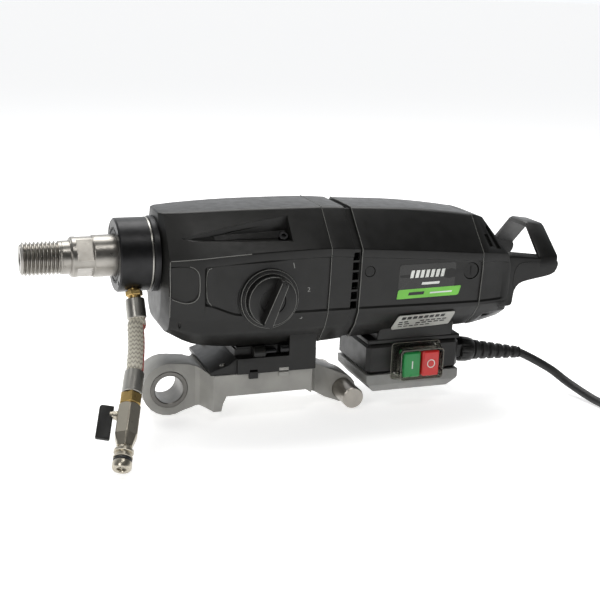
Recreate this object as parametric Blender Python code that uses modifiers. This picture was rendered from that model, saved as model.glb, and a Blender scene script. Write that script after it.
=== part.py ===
"""Rig-mounted core drill motor with its quick-clamp plate, water hose and mains cord.

Lengths are millimetres until point() turns them into metres. A place is given as
(station, side, height): station runs from the spindle's tip towards the rear handle,
side is across the machine, and height is measured from the spindle's axis. The row's
origin is the middle of the clamp plate's underside, where the rig's carriage seats.
"""
import math

import bmesh
import bpy
from mathutils import Matrix, Vector

MM = 0.001
GAP = 0.3                    # between two pieces that touch
RUNNING = 0.5                # between a turning piece and its hole

# Driving dimensions
SPINDLE_TO_SEAT = 136.5      # spindle axis above the clamp plate's underside
TIP_TO_SEAT = 230.0          # spindle tip to the middle of that underside
TABLE = -163.0               # what the machine lies on, below the spindle axis
MOTOR_AXIS = -20.0           # height of the armature's axis
WALL = 4.0                   # housing walls
CORNER_SLANT = 1.12          # how much further a corner moves than the walls beside it
THREAD_R = 15.875            # 1 1/4 inch thread
THREAD_PITCH = 25.4 / 7
SPINDLE_R = 20.0
COLLAR_R = 35.3
CORD_R = 4.5
HOSE_R = 8.0

# Stations along the machine
GEARBOX_END = 284.0
VENT_END = 315.5
MOTOR_END = 450.2
CAP_END = 487.5
HANDLE_END = 545.0
GUARD = ((366.0, -131.5), (413.5, -99.5))
BUTTON_WIDTH = 19.2

# Halves of the hexagonal body's outline at a few stations, from the top flat's edge
# down to the keel: top, crease, side, hip, skirt, keel, each (side, height)
BODY = {
    125.5: ((17, 43), (30, 6), (31, -26), (29, -44), (25, -56), (16, -64)),
    130.0: ((22, 43.5), (50, 3), (51, -25), (48, -52), (42, -64), (27, -71)),
    155.0: ((27, 44.5), (56, 5), (57, -24), (54, -54), (48, -69), (34, -83)),
    205.0: ((30, 46), (61, 9), (61, -22.5), (58, -54.5), (51, -70), (35, -89)),
    284.0: ((30, 46), (63.5, 11.6), (62, -22), (58.7, -54.7), (51.6, -69.8), (35, -90)),
    315.5: ((28, 44.2), (63, 9.4), (61.6, -22), (58.5, -55), (51, -70), (35, -88)),
    386.0: ((28, 40), (61.5, 4), (60.6, -21), (57.6, -56), (50, -70), (33, -86)),
    450.5: ((26.4, 31.6), (58.5, -2), (59, -20), (55.4, -57), (49, -69), (31, -84)),
    470.0: ((24, 26), (54.5, -4.5), (55, -21), (52.5, -57), (46.5, -68), (30, -81)),
    492.0: ((20.5, 20), (49.6, -7), (50, -22), (48, -57), (43, -67), (27, -77)),
}

# Gears: modules, tooth counts and the shafts' places follow from each other
COARSE = 1.5
FINE = 1.0
SPINDLE_TEETH = 42
LAY_PINION_TEETH = 14
LAY_GEAR_TEETH = 50
MOTOR_PINION_TEETH = 10
PRESSURE_ANGLE = math.radians(25)
BACKLASH = 0.12              # of a module, off each tooth flank

# Speed selector
KNOB_STATION = 223.5
KNOB_HEIGHT = -35.0
KNOB_STEP = math.radians(42)
KNOB_LEAN = 22.0             # degrees, the grip bar from upright in speed 1
CRANK_THROW = 9.0

# Places inside the casings
FRONT_WALL_END = 146.5
BULKHEAD = 254.0
BRUSH_STATION = 438.0
RING_WALL = 5.5
WATER_BORE_R = 6.0
ROD_AXIS = (-36.5, -60.0)

# Clamp plate: the bushed ring and the through pin, (station, height)
RING = (137.0, -133.8)
PIN = (319.8, -148.6)

# Water hose: it leaves the collar tilted to the near side and ends in a valve
HOSE_STATION = 102.5
HOSE_TILT = math.radians(30)
HOSE_ROUTE = [(100.2, -37.0, -60.0), (97.4, -53.0, -73.0)]
HOSE_END = (90.3, -78.0, -91.4)
NOZZLE_END = (63.3, -151.0, -153.6)
STEM_REACH = 47.0

# Mains cord: gland axis, the route past the bend relief, then a coil on the table
GLAND = ((440.0, -18.0, -114.0), (522.5, -25.0, -123.0))
RELIEF_LENGTH = 82.0
COIL_R = 52.5
COIL_CENTRE = (657.0, -112.0)
CORD_ROUTE = [(552.5, -37.0, -139.5), (566.0, -57.0, -151.0), (576.0, -97.0, TABLE + CORD_R),
              (583.0, -143.0, TABLE + CORD_R), (608.0, -179.0, TABLE + CORD_R),
              (651.0, -188.3, TABLE + CORD_R)]
PLUG_SIDE = -48.0
PLUG_LENGTH = 52.0
PLUG_R = 19.0
NECK_R = 6.0

FINISHES = {
    "black_cast": ((0.018, 0.018, 0.019), 0.42, 0.0),
    "black_plastic": ((0.016, 0.016, 0.017), 0.38, 0.0),
    "black_satin": ((0.02, 0.02, 0.022), 0.3, 0.2),
    "cast_grey": ((0.42, 0.42, 0.41), 0.5, 0.6),
    "steel": ((0.55, 0.54, 0.52), 0.28, 1.0),
    "stainless": ((0.5, 0.5, 0.49), 0.3, 1.0),
    "nickel": ((0.6, 0.58, 0.54), 0.25, 1.0),
    "brass": ((0.62, 0.42, 0.14), 0.3, 1.0),
    "copper": ((0.6, 0.27, 0.14), 0.35, 1.0),
    "core_iron": ((0.2, 0.2, 0.21), 0.5, 0.8),
    "carbon": ((0.04, 0.04, 0.04), 0.6, 0.0),
    "grey_plastic": ((0.3, 0.3, 0.29), 0.5, 0.0),
    "clear": ((0.5, 0.5, 0.46), 0.1, 0.0),
    "green": ((0.02, 0.3, 0.08), 0.35, 0.0),
    "red": ((0.6, 0.03, 0.02), 0.35, 0.0),
    "rubber": ((0.015, 0.015, 0.015), 0.6, 0.0),
    "braid": ((0.62, 0.58, 0.48), 0.6, 0.0),
}

for old in list(bpy.data.objects):
    bpy.data.objects.remove(old, do_unlink=True)

parts = bpy.data.collections.new("core_drill")
cutters = bpy.data.collections.new("cutters")
bpy.context.scene.collection.children.link(parts)
bpy.context.scene.collection.children.link(cutters)


# ---------------------------------------------------------------- helpers

def point(station, side, height):
    """A place on the machine, in metres in the row's frame."""
    return Vector((station - TIP_TO_SEAT, side, height + SPINDLE_TO_SEAT)) * MM


def finish_material(name):
    """The material of one finish, made once."""
    material = bpy.data.materials.get(name)
    if material is None:
        colour, roughness, metallic = FINISHES[name]
        material = bpy.data.materials.new(name)
        material.use_nodes = True
        shader = material.node_tree.nodes["Principled BSDF"]
        shader.inputs["Base Color"].default_value = (*colour, 1.0)
        shader.inputs["Roughness"].default_value = roughness
        shader.inputs["Metallic"].default_value = metallic
    return material


def add(name, mesh, finish):
    """A part when it has a finish, otherwise a cutter."""
    piece = bpy.data.objects.new(name, mesh)
    if finish:
        mesh.materials.append(finish_material(finish))
        parts.objects.link(piece)
    else:
        cutters.objects.link(piece)
        piece.hide_render = True
        piece.display_type = "WIRE"
    return piece


def from_bmesh(name, bm, finish, smooth_angle=30):
    bmesh.ops.recalc_face_normals(bm, faces=bm.faces)
    if bm.calc_volume(signed=True) < 0:
        bmesh.ops.reverse_faces(bm, faces=bm.faces)
    mesh = bpy.data.meshes.new(name)
    bm.to_mesh(mesh)
    bm.free()
    mesh.shade_smooth()
    mesh.set_sharp_from_angle(angle=math.radians(smooth_angle))
    return add(name, mesh, finish)


def box(name, finish, low, high):
    """A block between two places."""
    low, high = point(*low), point(*high)
    bm = bmesh.new()
    bmesh.ops.create_cube(bm, size=1.0)
    size = high - low
    bm.transform(Matrix.Translation((low + high) / 2) @ Matrix.Diagonal((*size, 1.0)))
    return from_bmesh(name, bm, finish)


def along(direction, roll=0.0):
    """The rotation that turns +Z to a direction."""
    turn = Vector((0, 0, 1)).rotation_difference(Vector(direction).normalized())
    return turn.to_matrix().to_4x4() @ Matrix.Rotation(roll, 4, "Z")


def rod(name, finish, start, end, radius, sides=18, end_radius=None, roll=0.0):
    """A round, hexagonal or tapered bar between two places."""
    start, end = point(*start), point(*end)
    end_radius = radius if end_radius is None else end_radius
    bm = bmesh.new()
    bmesh.ops.create_cone(
        bm, cap_ends=True, segments=sides, radius1=radius * MM, radius2=end_radius * MM,
        depth=(end - start).length)
    bm.transform(Matrix.Translation((start + end) / 2) @ along(end - start, roll))
    return from_bmesh(name, bm, finish)


def turned(name, finish, origin, direction, profile, closed=False, steps=24):
    """A turned piece: profile points are (distance along the axis, radius), outer side first."""
    points = [(radius * MM, 0.0, distance * MM) for distance, radius in reversed(profile)]
    edges = [(i, i + 1) for i in range(len(points) - 1)]
    if closed:
        edges.append((len(points) - 1, 0))
    mesh = bpy.data.meshes.new(name)
    mesh.from_pydata(points, edges, [])
    piece = add(name, mesh, finish)
    piece.matrix_world = Matrix.Translation(point(*origin)) @ along(direction)
    screw = piece.modifiers.new("Turn", "SCREW")
    screw.steps = steps
    screw.render_steps = steps
    screw.use_merge_vertices = True
    screw.merge_threshold = 0.00001
    screw.use_smooth_shade = True
    return piece


def ring(name, finish, origin, direction, length, inner, outer, steps=24):
    """A plain tube or bearing ring."""
    profile = [(0, outer), (length, outer), (length, inner), (0, inner)]
    return turned(name, finish, origin, direction, profile, closed=True, steps=steps)


def prism(name, finish, outline, plane, low, high):
    """A flat outline given thickness: plane is side (station, height), plan (station, side)
    or end (side, height), and low to high is the stretch across it."""
    if plane == "side":
        shift = Vector((-TIP_TO_SEAT, SPINDLE_TO_SEAT, 0))
        turn = Matrix(((1, 0, 0, 0), (0, 0, -1, 0), (0, 1, 0, 0), (0, 0, 0, 1)))
        middle = Vector((0, (low + high) / 2, 0))
    elif plane == "plan":
        shift = Vector((-TIP_TO_SEAT, 0, 0))
        turn = Matrix.Identity(4)
        middle = Vector((0, 0, (low + high) / 2 + SPINDLE_TO_SEAT))
    else:
        shift = Vector((0, SPINDLE_TO_SEAT, 0))
        turn = Matrix(((0, 0, 1, 0), (1, 0, 0, 0), (0, 1, 0, 0), (0, 0, 0, 1)))
        middle = Vector(((low + high) / 2 - TIP_TO_SEAT, 0, 0))
    curve = bpy.data.curves.new(name, "CURVE")
    curve.dimensions = "2D"
    curve.fill_mode = "BOTH"
    curve.extrude = (high - low) / 2 * MM
    spline = curve.splines.new("POLY")
    spline.points.add(len(outline) - 1)
    for place, (a, b) in zip(spline.points, outline):
        place.co = (*((Vector((a, b, 0)) + shift) * MM), 1.0)
    spline.use_cyclic_u = True
    holder = bpy.data.objects.new(name, curve)
    bpy.context.scene.collection.objects.link(holder)
    bm = solid_of(holder)
    bpy.data.objects.remove(holder, do_unlink=True)
    bm.transform(Matrix.Translation(middle * MM) @ turn)
    return from_bmesh(name, bm, finish)


def solid_of(holder):
    """The welded mesh of an object as its modifiers leave it."""
    graph = bpy.context.evaluated_depsgraph_get()
    mesh = bpy.data.meshes.new_from_object(holder.evaluated_get(graph))
    bm = bmesh.new()
    bm.from_mesh(mesh)
    bpy.data.meshes.remove(mesh)
    bmesh.ops.remove_doubles(bm, verts=bm.verts, dist=0.00001)
    return bm


def skin(name, finish, rings, closed=False):
    """A loft through rings of places, its ends capped or joined to each other."""
    bm = bmesh.new()
    loops = [[bm.verts.new(point(*place)) for place in loop] for loop in rings]
    count = len(loops[0])
    spans = len(loops) if closed else len(loops) - 1
    for i in range(spans):
        here, there = loops[i], loops[(i + 1) % len(loops)]
        for j in range(count):
            k = (j + 1) % count
            bm.faces.new((here[j], here[k], there[k], there[j]))
    if not closed:
        bm.faces.new(loops[0])
        bm.faces.new(loops[-1])
    bmesh.ops.triangulate(bm, faces=bm.faces)
    return from_bmesh(name, bm, finish)


def tube(name, finish, places, radius, resolution=2):
    """A round bar along a list of places."""
    curve = bpy.data.curves.new(name, "CURVE")
    curve.dimensions = "3D"
    curve.bevel_depth = radius * MM
    curve.bevel_resolution = resolution
    curve.use_fill_caps = True
    curve.resolution_u = 1
    spline = curve.splines.new("POLY")
    spline.points.add(len(places) - 1)
    for place, where in zip(spline.points, places):
        place.co = (*point(*where), 1.0)
    return add(name, curve, finish)


def boolean(piece, other, operation):
    step = piece.modifiers.new(operation.title(), "BOOLEAN")
    step.operation = operation
    step.object = other
    return piece


def cut(piece, *others):
    """Takes cutters away from a piece."""
    for other in others:
        boolean(piece, other, "DIFFERENCE")
    return piece


def join(piece, *others):
    """Makes other solids, built as cutters, one body with a piece."""
    for other in others:
        boolean(piece, other, "UNION")
    return piece


def chamfer(piece, width, angle=30):
    """Flat chamfers on the sharp edges of a piece."""
    step = piece.modifiers.new("Chamfer", "BEVEL")
    step.width = width * MM
    step.segments = 1
    step.limit_method = "ANGLE"
    step.angle_limit = math.radians(angle)
    return piece


def half_outline(station):
    """The body's half outline at any station, between the stated ones."""
    stations = sorted(BODY)
    before = max([s for s in stations if s <= station], default=stations[0])
    after = min([s for s in stations if s >= station], default=stations[-1])
    if before == after:
        return BODY[before]
    share = (station - before) / (after - before)
    return [tuple(a + (b - a) * share for a, b in zip(p, q))
            for p, q in zip(BODY[before], BODY[after])]


def body_loop(station, inset=0.0):
    """The whole outline at a station, moved inwards by inset."""
    middle = MOTOR_AXIS
    right = []
    for side, height in half_outline(station):
        reach = math.hypot(side, height - middle)
        share = 1 - inset * CORNER_SLANT / reach
        z = middle + (height - middle) * share
        right.append((station, side * share, z))
    left = [(s, -y, z) for s, y, z in reversed(right)]
    return right + left


def slant(station, share, lift, side):
    """A place on the upper slanted face: share runs from the top edge to the crease,
    lift stands off the face, and side is -1 near or 1 far."""
    (y1, z1), (y2, z2) = half_outline(station)[:2]
    length = math.hypot(y2 - y1, z2 - z1)
    out_y, out_z = (z1 - z2) / length, (y2 - y1) / length
    return (station, side * (y1 + (y2 - y1) * share + out_y * lift),
            z1 + (z2 - z1) * share + out_z * lift)


def flat_loop(station, inset):
    """The outline at a station as (side, height) points."""
    return [(y, z) for _, y, z in body_loop(station, inset)]


def hose_path(through, count):
    """Places at even steps along a smooth curve through a route's own points."""
    route = [Vector(p) for p in through]
    ends = [2 * route[0] - route[1], *route, 2 * route[-1] - route[-2]]
    fine = []
    steps = 24
    for a, b, c, d in zip(ends, ends[1:], ends[2:], ends[3:]):
        for i in range(steps):
            t = i / steps
            fine.append(0.5 * (2 * b + (c - a) * t + (2 * a - 5 * b + 4 * c - d) * t ** 2
                               + (3 * b - a - 3 * c + d) * t ** 3))
    fine.append(route[-1])
    reach = [0.0]
    for a, b in zip(fine, fine[1:]):
        reach.append(reach[-1] + (b - a).length)
    places = []
    k = 0
    for i in range(count):
        want = reach[-1] * i / (count - 1)
        while k < len(reach) - 2 and reach[k + 1] < want:
            k += 1
        share = (want - reach[k]) / (reach[k + 1] - reach[k])
        places.append(tuple(fine[k].lerp(fine[k + 1], share)))
    return places


# ---------------------------------------------------------------- gears

def involute(angle):
    return math.tan(angle) - angle


def gear_outline(teeth, module, phase):
    """Points (side, height) of a spur gear about its own axis, one tooth centred on phase."""
    pitch = teeth * module / 2
    base = pitch * math.cos(PRESSURE_ANGLE)
    tip = pitch + 0.8 * module
    root = pitch - 1.1 * module
    half = math.pi / (2 * teeth) - BACKLASH * module / pitch
    at_base = half + involute(PRESSURE_ANGLE)
    flank = []
    radii = (max(base, root), tip) if teeth > 30 else (max(base, root), pitch, tip)
    for radius in radii:
        slope = math.acos(min(1.0, base / radius))
        flank.append((radius, at_base - involute(slope)))
    if base > root:
        flank.insert(0, (root, at_base))
    points = []
    for tooth in range(teeth):
        centre = phase + 2 * math.pi * tooth / teeth
        for radius, angle in flank:
            points.append((radius, centre - angle))
        for radius, angle in reversed(flank):
            points.append((radius, centre + angle))
    return [(r * math.cos(a), r * math.sin(a)) for r, a in points]


def gear(name, axis, teeth, module, phase, front, back, bore):
    """A spur gear on a shaft, cut for the shaft with a fitting gap."""
    side, height = axis
    outline = [(y + side, z + height) for y, z in gear_outline(teeth, module, phase)]
    wheel = prism(name, "steel", outline, "end", front, back)
    hole = rod(name + "_hole", None, (front - 1, side, height), (back + 1, side, height),
               bore + GAP)
    return cut(wheel, hole)


COARSE_REACH = (SPINDLE_TEETH + LAY_PINION_TEETH) * COARSE / 2
FINE_REACH = (LAY_GEAR_TEETH + MOTOR_PINION_TEETH) * FINE / 2
LAY_HEIGHT = (FINE_REACH ** 2 - COARSE_REACH ** 2 - MOTOR_AXIS ** 2) / (-2 * MOTOR_AXIS)
LAY_SIDE = -math.sqrt(COARSE_REACH ** 2 - LAY_HEIGHT ** 2)
SPINDLE_AXIS = (0.0, 0.0)
LAY_AXIS = (LAY_SIDE, LAY_HEIGHT)
ARMATURE_AXIS = (0.0, MOTOR_AXIS)


def heading(start, end):
    """The angle from one shaft to another, seen along the machine."""
    return math.atan2(end[1] - start[1], end[0] - start[0])


# ---------------------------------------------------------------- housings

def gearbox_housing():
    """The cast gearbox casing: a cup whose thick front wall holds two bearings."""
    outer = [body_loop(s) for s in (125.5, 130.0, 155.0, 205.0, GEARBOX_END)]
    inner = [body_loop(s, WALL) for s in (GEARBOX_END, 205.0, 155.0, FRONT_WALL_END)]
    housing = skin("gearbox_housing", "black_cast", outer + inner)
    knob = (KNOB_STATION, KNOB_HEIGHT)
    join(housing, rod("knob_boss", None, (knob[0], -50, knob[1]), (knob[0], -59.7, knob[1]),
                      28, 32))
    cut(housing,
        rod("boss_hollow", None, (knob[0], -45, knob[1]), (knob[0], -57, knob[1]), 23, 24),
        rod("base_pocket", None, (knob[0], -59.7, knob[1]), (knob[0], -80, knob[1]),
            29 + GAP, 32),
        rod("knob_hole", None, (knob[0], -50, knob[1]), (knob[0], -70, knob[1]), 8 + GAP),
        rod("nose_hole", None, (120, 0, 0), (134, 0, 0), 21.6, 24),
        rod("nose_pocket", None, (130, 0, 0), (150, 0, 0), 27.5 + GAP, 28),
        rod("lay_pocket", None, (136, *LAY_AXIS), (150, *LAY_AXIS), 13 + GAP))
    for side in (-1, 1):
        backing = [(141, 0.48, -3), (250, 0.12, -3), (250, 0.87, -3), (150, 0.7, -3)]
        depths = [-5, -11, -11, -6]
        behind = [(s, share, depth) for (s, share, _), depth in zip(backing, depths)]
        join(housing, skin(f"scoop_backing_{side}", None,
                           [[slant(*p, side) for p in backing],
                            [slant(*p, side) for p in behind]]))
        mouth = [(142, 0.55, 3), (248, 0.17, 3), (248, 0.81, 3), (152, 0.63, 3)]
        floor = [(145, 0.56, -0.6), (245, 0.28, -7), (245, 0.75, -7), (157, 0.62, -1.5)]
        cut(housing, skin(f"scoop_{side}", None, [[slant(*p, side) for p in mouth],
                                                  [slant(*p, side) for p in floor]]))


def vent_housing():
    """The ring between gearbox and motor, its rear edge set in and cut for the air."""
    front = GEARBOX_END + GAP
    outer = [body_loop(s, i) for s, i in ((front, 0), (308.3, 0), (308.8, 2.2), (VENT_END, 2.2))]
    inner = [body_loop(s, RING_WALL) for s in (VENT_END, front)]
    housing = skin("vent_housing", "black_cast", outer + inner, closed=True)
    for i in range(5):
        top = 2 - 11.5 * i
        cut(housing, box(f"vent_slot_{i}", None, (309.6, -75, top - 8.5), (313.6, 75, top)))
    cut(housing, box("vent_slot_top", None, (309.6, -24, 36), (313.6, 24, 60)))


def motor_housing():
    """The motor casing, with the neck below it that carries the switch box."""
    stations = (VENT_END + GAP, 386.0, MOTOR_END)
    housing = skin("motor_housing", "black_plastic", [body_loop(s) for s in stations])
    join(housing, prism("neck", None, [(350.5, -76), (346, -96), (432, -96), (432, -76)],
                        "side", -39, 39))
    cut(housing,
        skin("motor_hollow", None,
             [body_loop(VENT_END - 5, WALL), body_loop(386, WALL), body_loop(MOTOR_END + 5, WALL)]),
        box("neck_hollow", None, (365, -24, -100), (415, 24, -70)))
    for side in (-1, 1):
        cut(housing, rod(f"brush_hole_{side}", None, (BRUSH_STATION, side * 45, MOTOR_AXIS),
                         (BRUSH_STATION, side * 70, MOTOR_AXIS), 8.5 + GAP))


def arch_ring(station, top, opening_top, opening_foot):
    """The arch across the handle's arms, as one closed ring seen from the end."""
    outside = [(49.8, -23), (49.8, -11.5), (16, top)]
    inside = [(42.2, -23), (42.2, opening_foot), (17, opening_top)]
    ring_ = outside + [(-y, z) for y, z in reversed(outside)]
    ring_ += [(-y, z) for y, z in inside] + list(reversed(inside))
    return [(station, y, z) for y, z in ring_]


def rear_cap():
    """The rear cap, with its leaning back, the handle's arms and the arch across them."""
    start = MOTOR_END + GAP
    cap = skin("rear_cap", "black_plastic", [body_loop(s) for s in (start, 470.0, 492.0)])
    boolean(cap, prism("cap_back", None, [(440, -100), (CAP_END, -100), (CAP_END, -20), (484, -8),
                                          (461, 33), (440, 70)], "side", -80, 80), "INTERSECT")
    hollow = skin("cap_hollow", None, [body_loop(s, WALL) for s in (start - 6, 470.0, 492.0)])
    boolean(hollow, prism("hollow_back", None, [
        (430, -100), (CAP_END - WALL, -100), (CAP_END - WALL, -21), (480.3, -10.5),
        (457.3, 30.5), (430, 79)], "side", -80, 80), "INTERSECT")
    cut(cap, hollow)
    arm = [(476, -7.5), (484.7, -7.5), (519, -12), (541.5, -15), (HANDLE_END, -20), (543.6, -26),
           (536.5, -31.2), (511, -36), (501.8, -38), (497, -41.5), (494, -47), (493.2, -58.2),
           (479, -58.2)]
    arch = [arch_ring(521.2, 18.8, 13.6, -10), arch_ring(542.7, 15.9, 7.2, -16)]
    boss = ring("bearing_boss", None, (455, 0, MOTOR_AXIS), (1, 0, 0), 29, 13 + GAP, 17.5)
    join(cap, prism("arm_far", None, arm, "side", 42.6, 49.4),
         prism("arm_near", None, arm, "side", -49.4, -42.6),
         skin("arch", None, arch), boss)
    for side in (-1, 1):
        for i in range(3):
            low, high = sorted((side * (31 + 6 * i), side * (34 + 6 * i)))
            cut(cap, box(f"intake_{side}_{i}", None, (462, low, -2), (472, high, 40)))


def water_collar():
    """The swivel that feeds water to the spindle, its flange, seal and hose fitting."""
    collar = turned("water_collar", "black_satin", (0, 0, 0), (1, 0, 0), [
        (87.3, COLLAR_R - 1.2), (88.5, COLLAR_R), (118.9, COLLAR_R), (118.9, SPINDLE_R + 1),
        (108.5, SPINDLE_R + 1), (108.5, 25), (96.5, 25), (96.5, SPINDLE_R + 1),
        (94, SPINDLE_R + 1), (94, 26.5), (87.3, 26.5)], closed=True, steps=32)
    cut(collar, rod("hose_port", None, from_collar(22), from_collar(40), 6 + GAP, 20))
    ring("collar_flange", "black_satin", (119.2, 0, 0), (1, 0, 0), 6.0, 21.4, 36.4, 32)
    ring("spindle_seal", "rubber", (87.6, 0, 0), (1, 0, 0), 6, SPINDLE_R + RUNNING, 26.2, 32)
    rod("hose_fitting", "nickel", from_collar(26), from_collar(44), 6, 20)


def from_collar(reach):
    """A place on the hose fitting's axis, at a distance from the spindle's axis."""
    return (HOSE_STATION, -reach * math.sin(HOSE_TILT), -reach * math.cos(HOSE_TILT))


# ---------------------------------------------------------------- drive

def spindle():
    """The hollow output spindle: thread, wrench flats, bright shoulder and inner journals."""
    profile = [(0, THREAD_R - 2.6)]
    turns = int(34 / THREAD_PITCH)
    for i in range(turns):
        start = 1.2 + i * THREAD_PITCH
        profile.append((start + 0.6, THREAD_R))
        profile.append((start + 1.3, THREAD_R))
        profile.append((start + THREAD_PITCH - 1.1, THREAD_R - 2.2))
    profile += [(36.5, THREAD_R), (45.5, THREAD_R), (47.2, 19.3), (67, 19.3), (67, SPINDLE_R),
                (121, SPINDLE_R), (121, 15), (180, 15), (180, 12.5), (261.5, 12.5),
                (261.5, 0), (110, 0), (110, WATER_BORE_R), (0, WATER_BORE_R)]
    shaft = turned("spindle", "steel", (0, 0, 0), (1, 0, 0), profile, closed=True, steps=24)
    sleeve = rod("flat_sleeve", None, (50.5, 0, 0), (66.5, 0, 0), 30, 16)
    square = rod("flat_square", None, (49, 0, 0), (68, 0, 0), 16 * math.sqrt(2), 4,
                 roll=math.radians(11))
    cut(sleeve, square)
    cut(shaft, sleeve)
    cut(shaft, rod("water_port", None, (102.5, 0, -SPINDLE_R - 2), (102.5, 0, SPINDLE_R + 2),
                   3, 12))
    mesh = heading(SPINDLE_AXIS, LAY_AXIS)
    gear("spindle_gear", SPINDLE_AXIS, SPINDLE_TEETH, COARSE, mesh, 151, 169, 15)
    ring("spindle_bearing_front", "stainless", (130.3, 0, 0), (1, 0, 0), 13, 15 + GAP, 27.5)
    ring("spindle_bearing_rear", "stainless", (BULKHEAD + 0.5, 0, 0), (1, 0, 0), 7,
         12.5 + GAP, 20.5)
    outline = flat_loop(BULKHEAD + 4, WALL + 0.8)
    wall = prism("gearbox_bulkhead", "cast_grey", outline, "end", BULKHEAD, BULKHEAD + 8)
    cut(wall, rod("bulkhead_pocket", None, (BULKHEAD - 1, 0, 0), (BULKHEAD + 9, 0, 0),
                  20.5 + GAP, 32),
        rod("bulkhead_pass", None, (BULKHEAD - 1, *LAY_AXIS), (BULKHEAD + 9, *LAY_AXIS), 9.5))


def countershaft():
    """The layshaft with its two gears, two bearings and the sliding selector sleeve."""
    turned("countershaft", "steel", (0, *LAY_AXIS), (1, 0, 0), [
        (136.6, 0), (136.6, 4.8), (146.9, 4.8), (146.9, 8), (285.8, 8), (285.8, 4.8),
        (296, 4.8), (296, 0)], steps=24)
    to_spindle = heading(LAY_AXIS, SPINDLE_AXIS)
    to_motor = heading(LAY_AXIS, ARMATURE_AXIS)
    gear("countershaft_pinion", LAY_AXIS, LAY_PINION_TEETH, COARSE,
         to_spindle + math.pi / LAY_PINION_TEETH, 151, 169, 8)
    gear("countershaft_gear", LAY_AXIS, LAY_GEAR_TEETH, FINE,
         to_motor + math.pi / LAY_GEAR_TEETH, 266, 276, 8)
    ring("countershaft_bearing_front", "stainless", (136.3, *LAY_AXIS), (1, 0, 0), 9, 5.1, 13, 24)
    ring("countershaft_bearing_rear", "stainless", (287, *LAY_AXIS), (1, 0, 0), 9, 5.1, 13, 24)
    middle = KNOB_STATION - CRANK_THROW * math.sin(KNOB_STEP)
    turned("shift_sleeve", "steel", (middle, *LAY_AXIS), (1, 0, 0), [
        (-12, 17), (-5.6, 17), (-5.6, 13), (5.6, 13), (5.6, 17), (12, 17),
        (12, 8 + GAP), (-12, 8 + GAP)], closed=True, steps=24)


def shift_fork():
    """The selector's crank on the knob's shaft, the fork it slides and the fork's rod."""
    turn = -KNOB_STEP
    pin = (KNOB_STATION + CRANK_THROW * math.sin(turn), KNOB_HEIGHT + CRANK_THROW * math.cos(turn))
    crank = rod("selector_crank", "steel", (KNOB_STATION, -56.3, KNOB_HEIGHT),
                (KNOB_STATION, -53.4, KNOB_HEIGHT), 12.5)
    join(crank, rod("crank_pin", None, (pin[0], -55, pin[1]), (pin[0], -46, pin[1]), 2.5, 16))
    y, z = LAY_AXIS
    arc = [math.radians(60 + 240 * i / 14) for i in range(15)]
    prongs = [(y + 19 * math.cos(a), z + 19 * math.sin(a)) for a in arc]
    prongs += [(y + 13.6 * math.cos(a), z + 13.6 * math.sin(a)) for a in reversed(arc)]
    fork = prism("shift_fork", "steel", prongs, "end", pin[0] - 5, pin[0] + 5)
    join(fork,
         box("fork_block", None, (pin[0] - 4.8, -52.6, -42), (pin[0] + 4.8, y - 14.5, -19)),
         rod("fork_boss", None, (pin[0] - 7, *ROD_AXIS), (pin[0] + 7, *ROD_AXIS), 7.5),
         prism("fork_arm", None, [(-48, -40), (-29, -47), (-32, -57), (-41, -57)], "end",
               pin[0] - 4.5, pin[0] + 4.5))
    cut(fork,
        box("fork_slot", None, (pin[0] - 3.1, -60, -34.5), (pin[0] + 3.1, -45, -15)),
        rod("fork_bore", None, (pin[0] - 9, *ROD_AXIS), (pin[0] + 9, *ROD_AXIS), 4 + GAP))
    rod("shift_rod", "steel", (FRONT_WALL_END + GAP, *ROD_AXIS), (BULKHEAD - GAP, *ROD_AXIS), 4)


def selector():
    """The speed selector's base ring and its knob with a grip bar."""
    turned("selector_base", "black_plastic", (KNOB_STATION, 0, KNOB_HEIGHT), (0, -1, 0), [
        (60, 29), (62.5, 29), (62.5, 27.3), (64, 27.3), (64, 25.4), (64.8, 25.4),
        (64.8, 8.3), (60, 8.3)], closed=True, steps=32)
    knob = turned("selector_knob", "black_plastic", (KNOB_STATION, 0, KNOB_HEIGHT), (0, -1, 0), [
        (56.7, 0), (56.7, 7.8), (65.2, 7.8), (65.2, 23.8), (71.5, 23.8), (73, 22.3),
        (73, 0)], steps=32)
    lean = math.radians(KNOB_LEAN)
    across = Vector((math.sin(lean), math.cos(lean)))
    wide = Vector((math.cos(lean), -math.sin(lean)))
    corners = [across * a + wide * b for a, b in ((23.4, 3.6), (23.4, -3.6), (-23.4, -4.8),
                                                  (-23.4, 4.8))]
    outline = [(KNOB_STATION + c.x, KNOB_HEIGHT + c.y) for c in corners]
    join(knob, prism("grip_bar", None, outline, "side", -84, -72))


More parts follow.
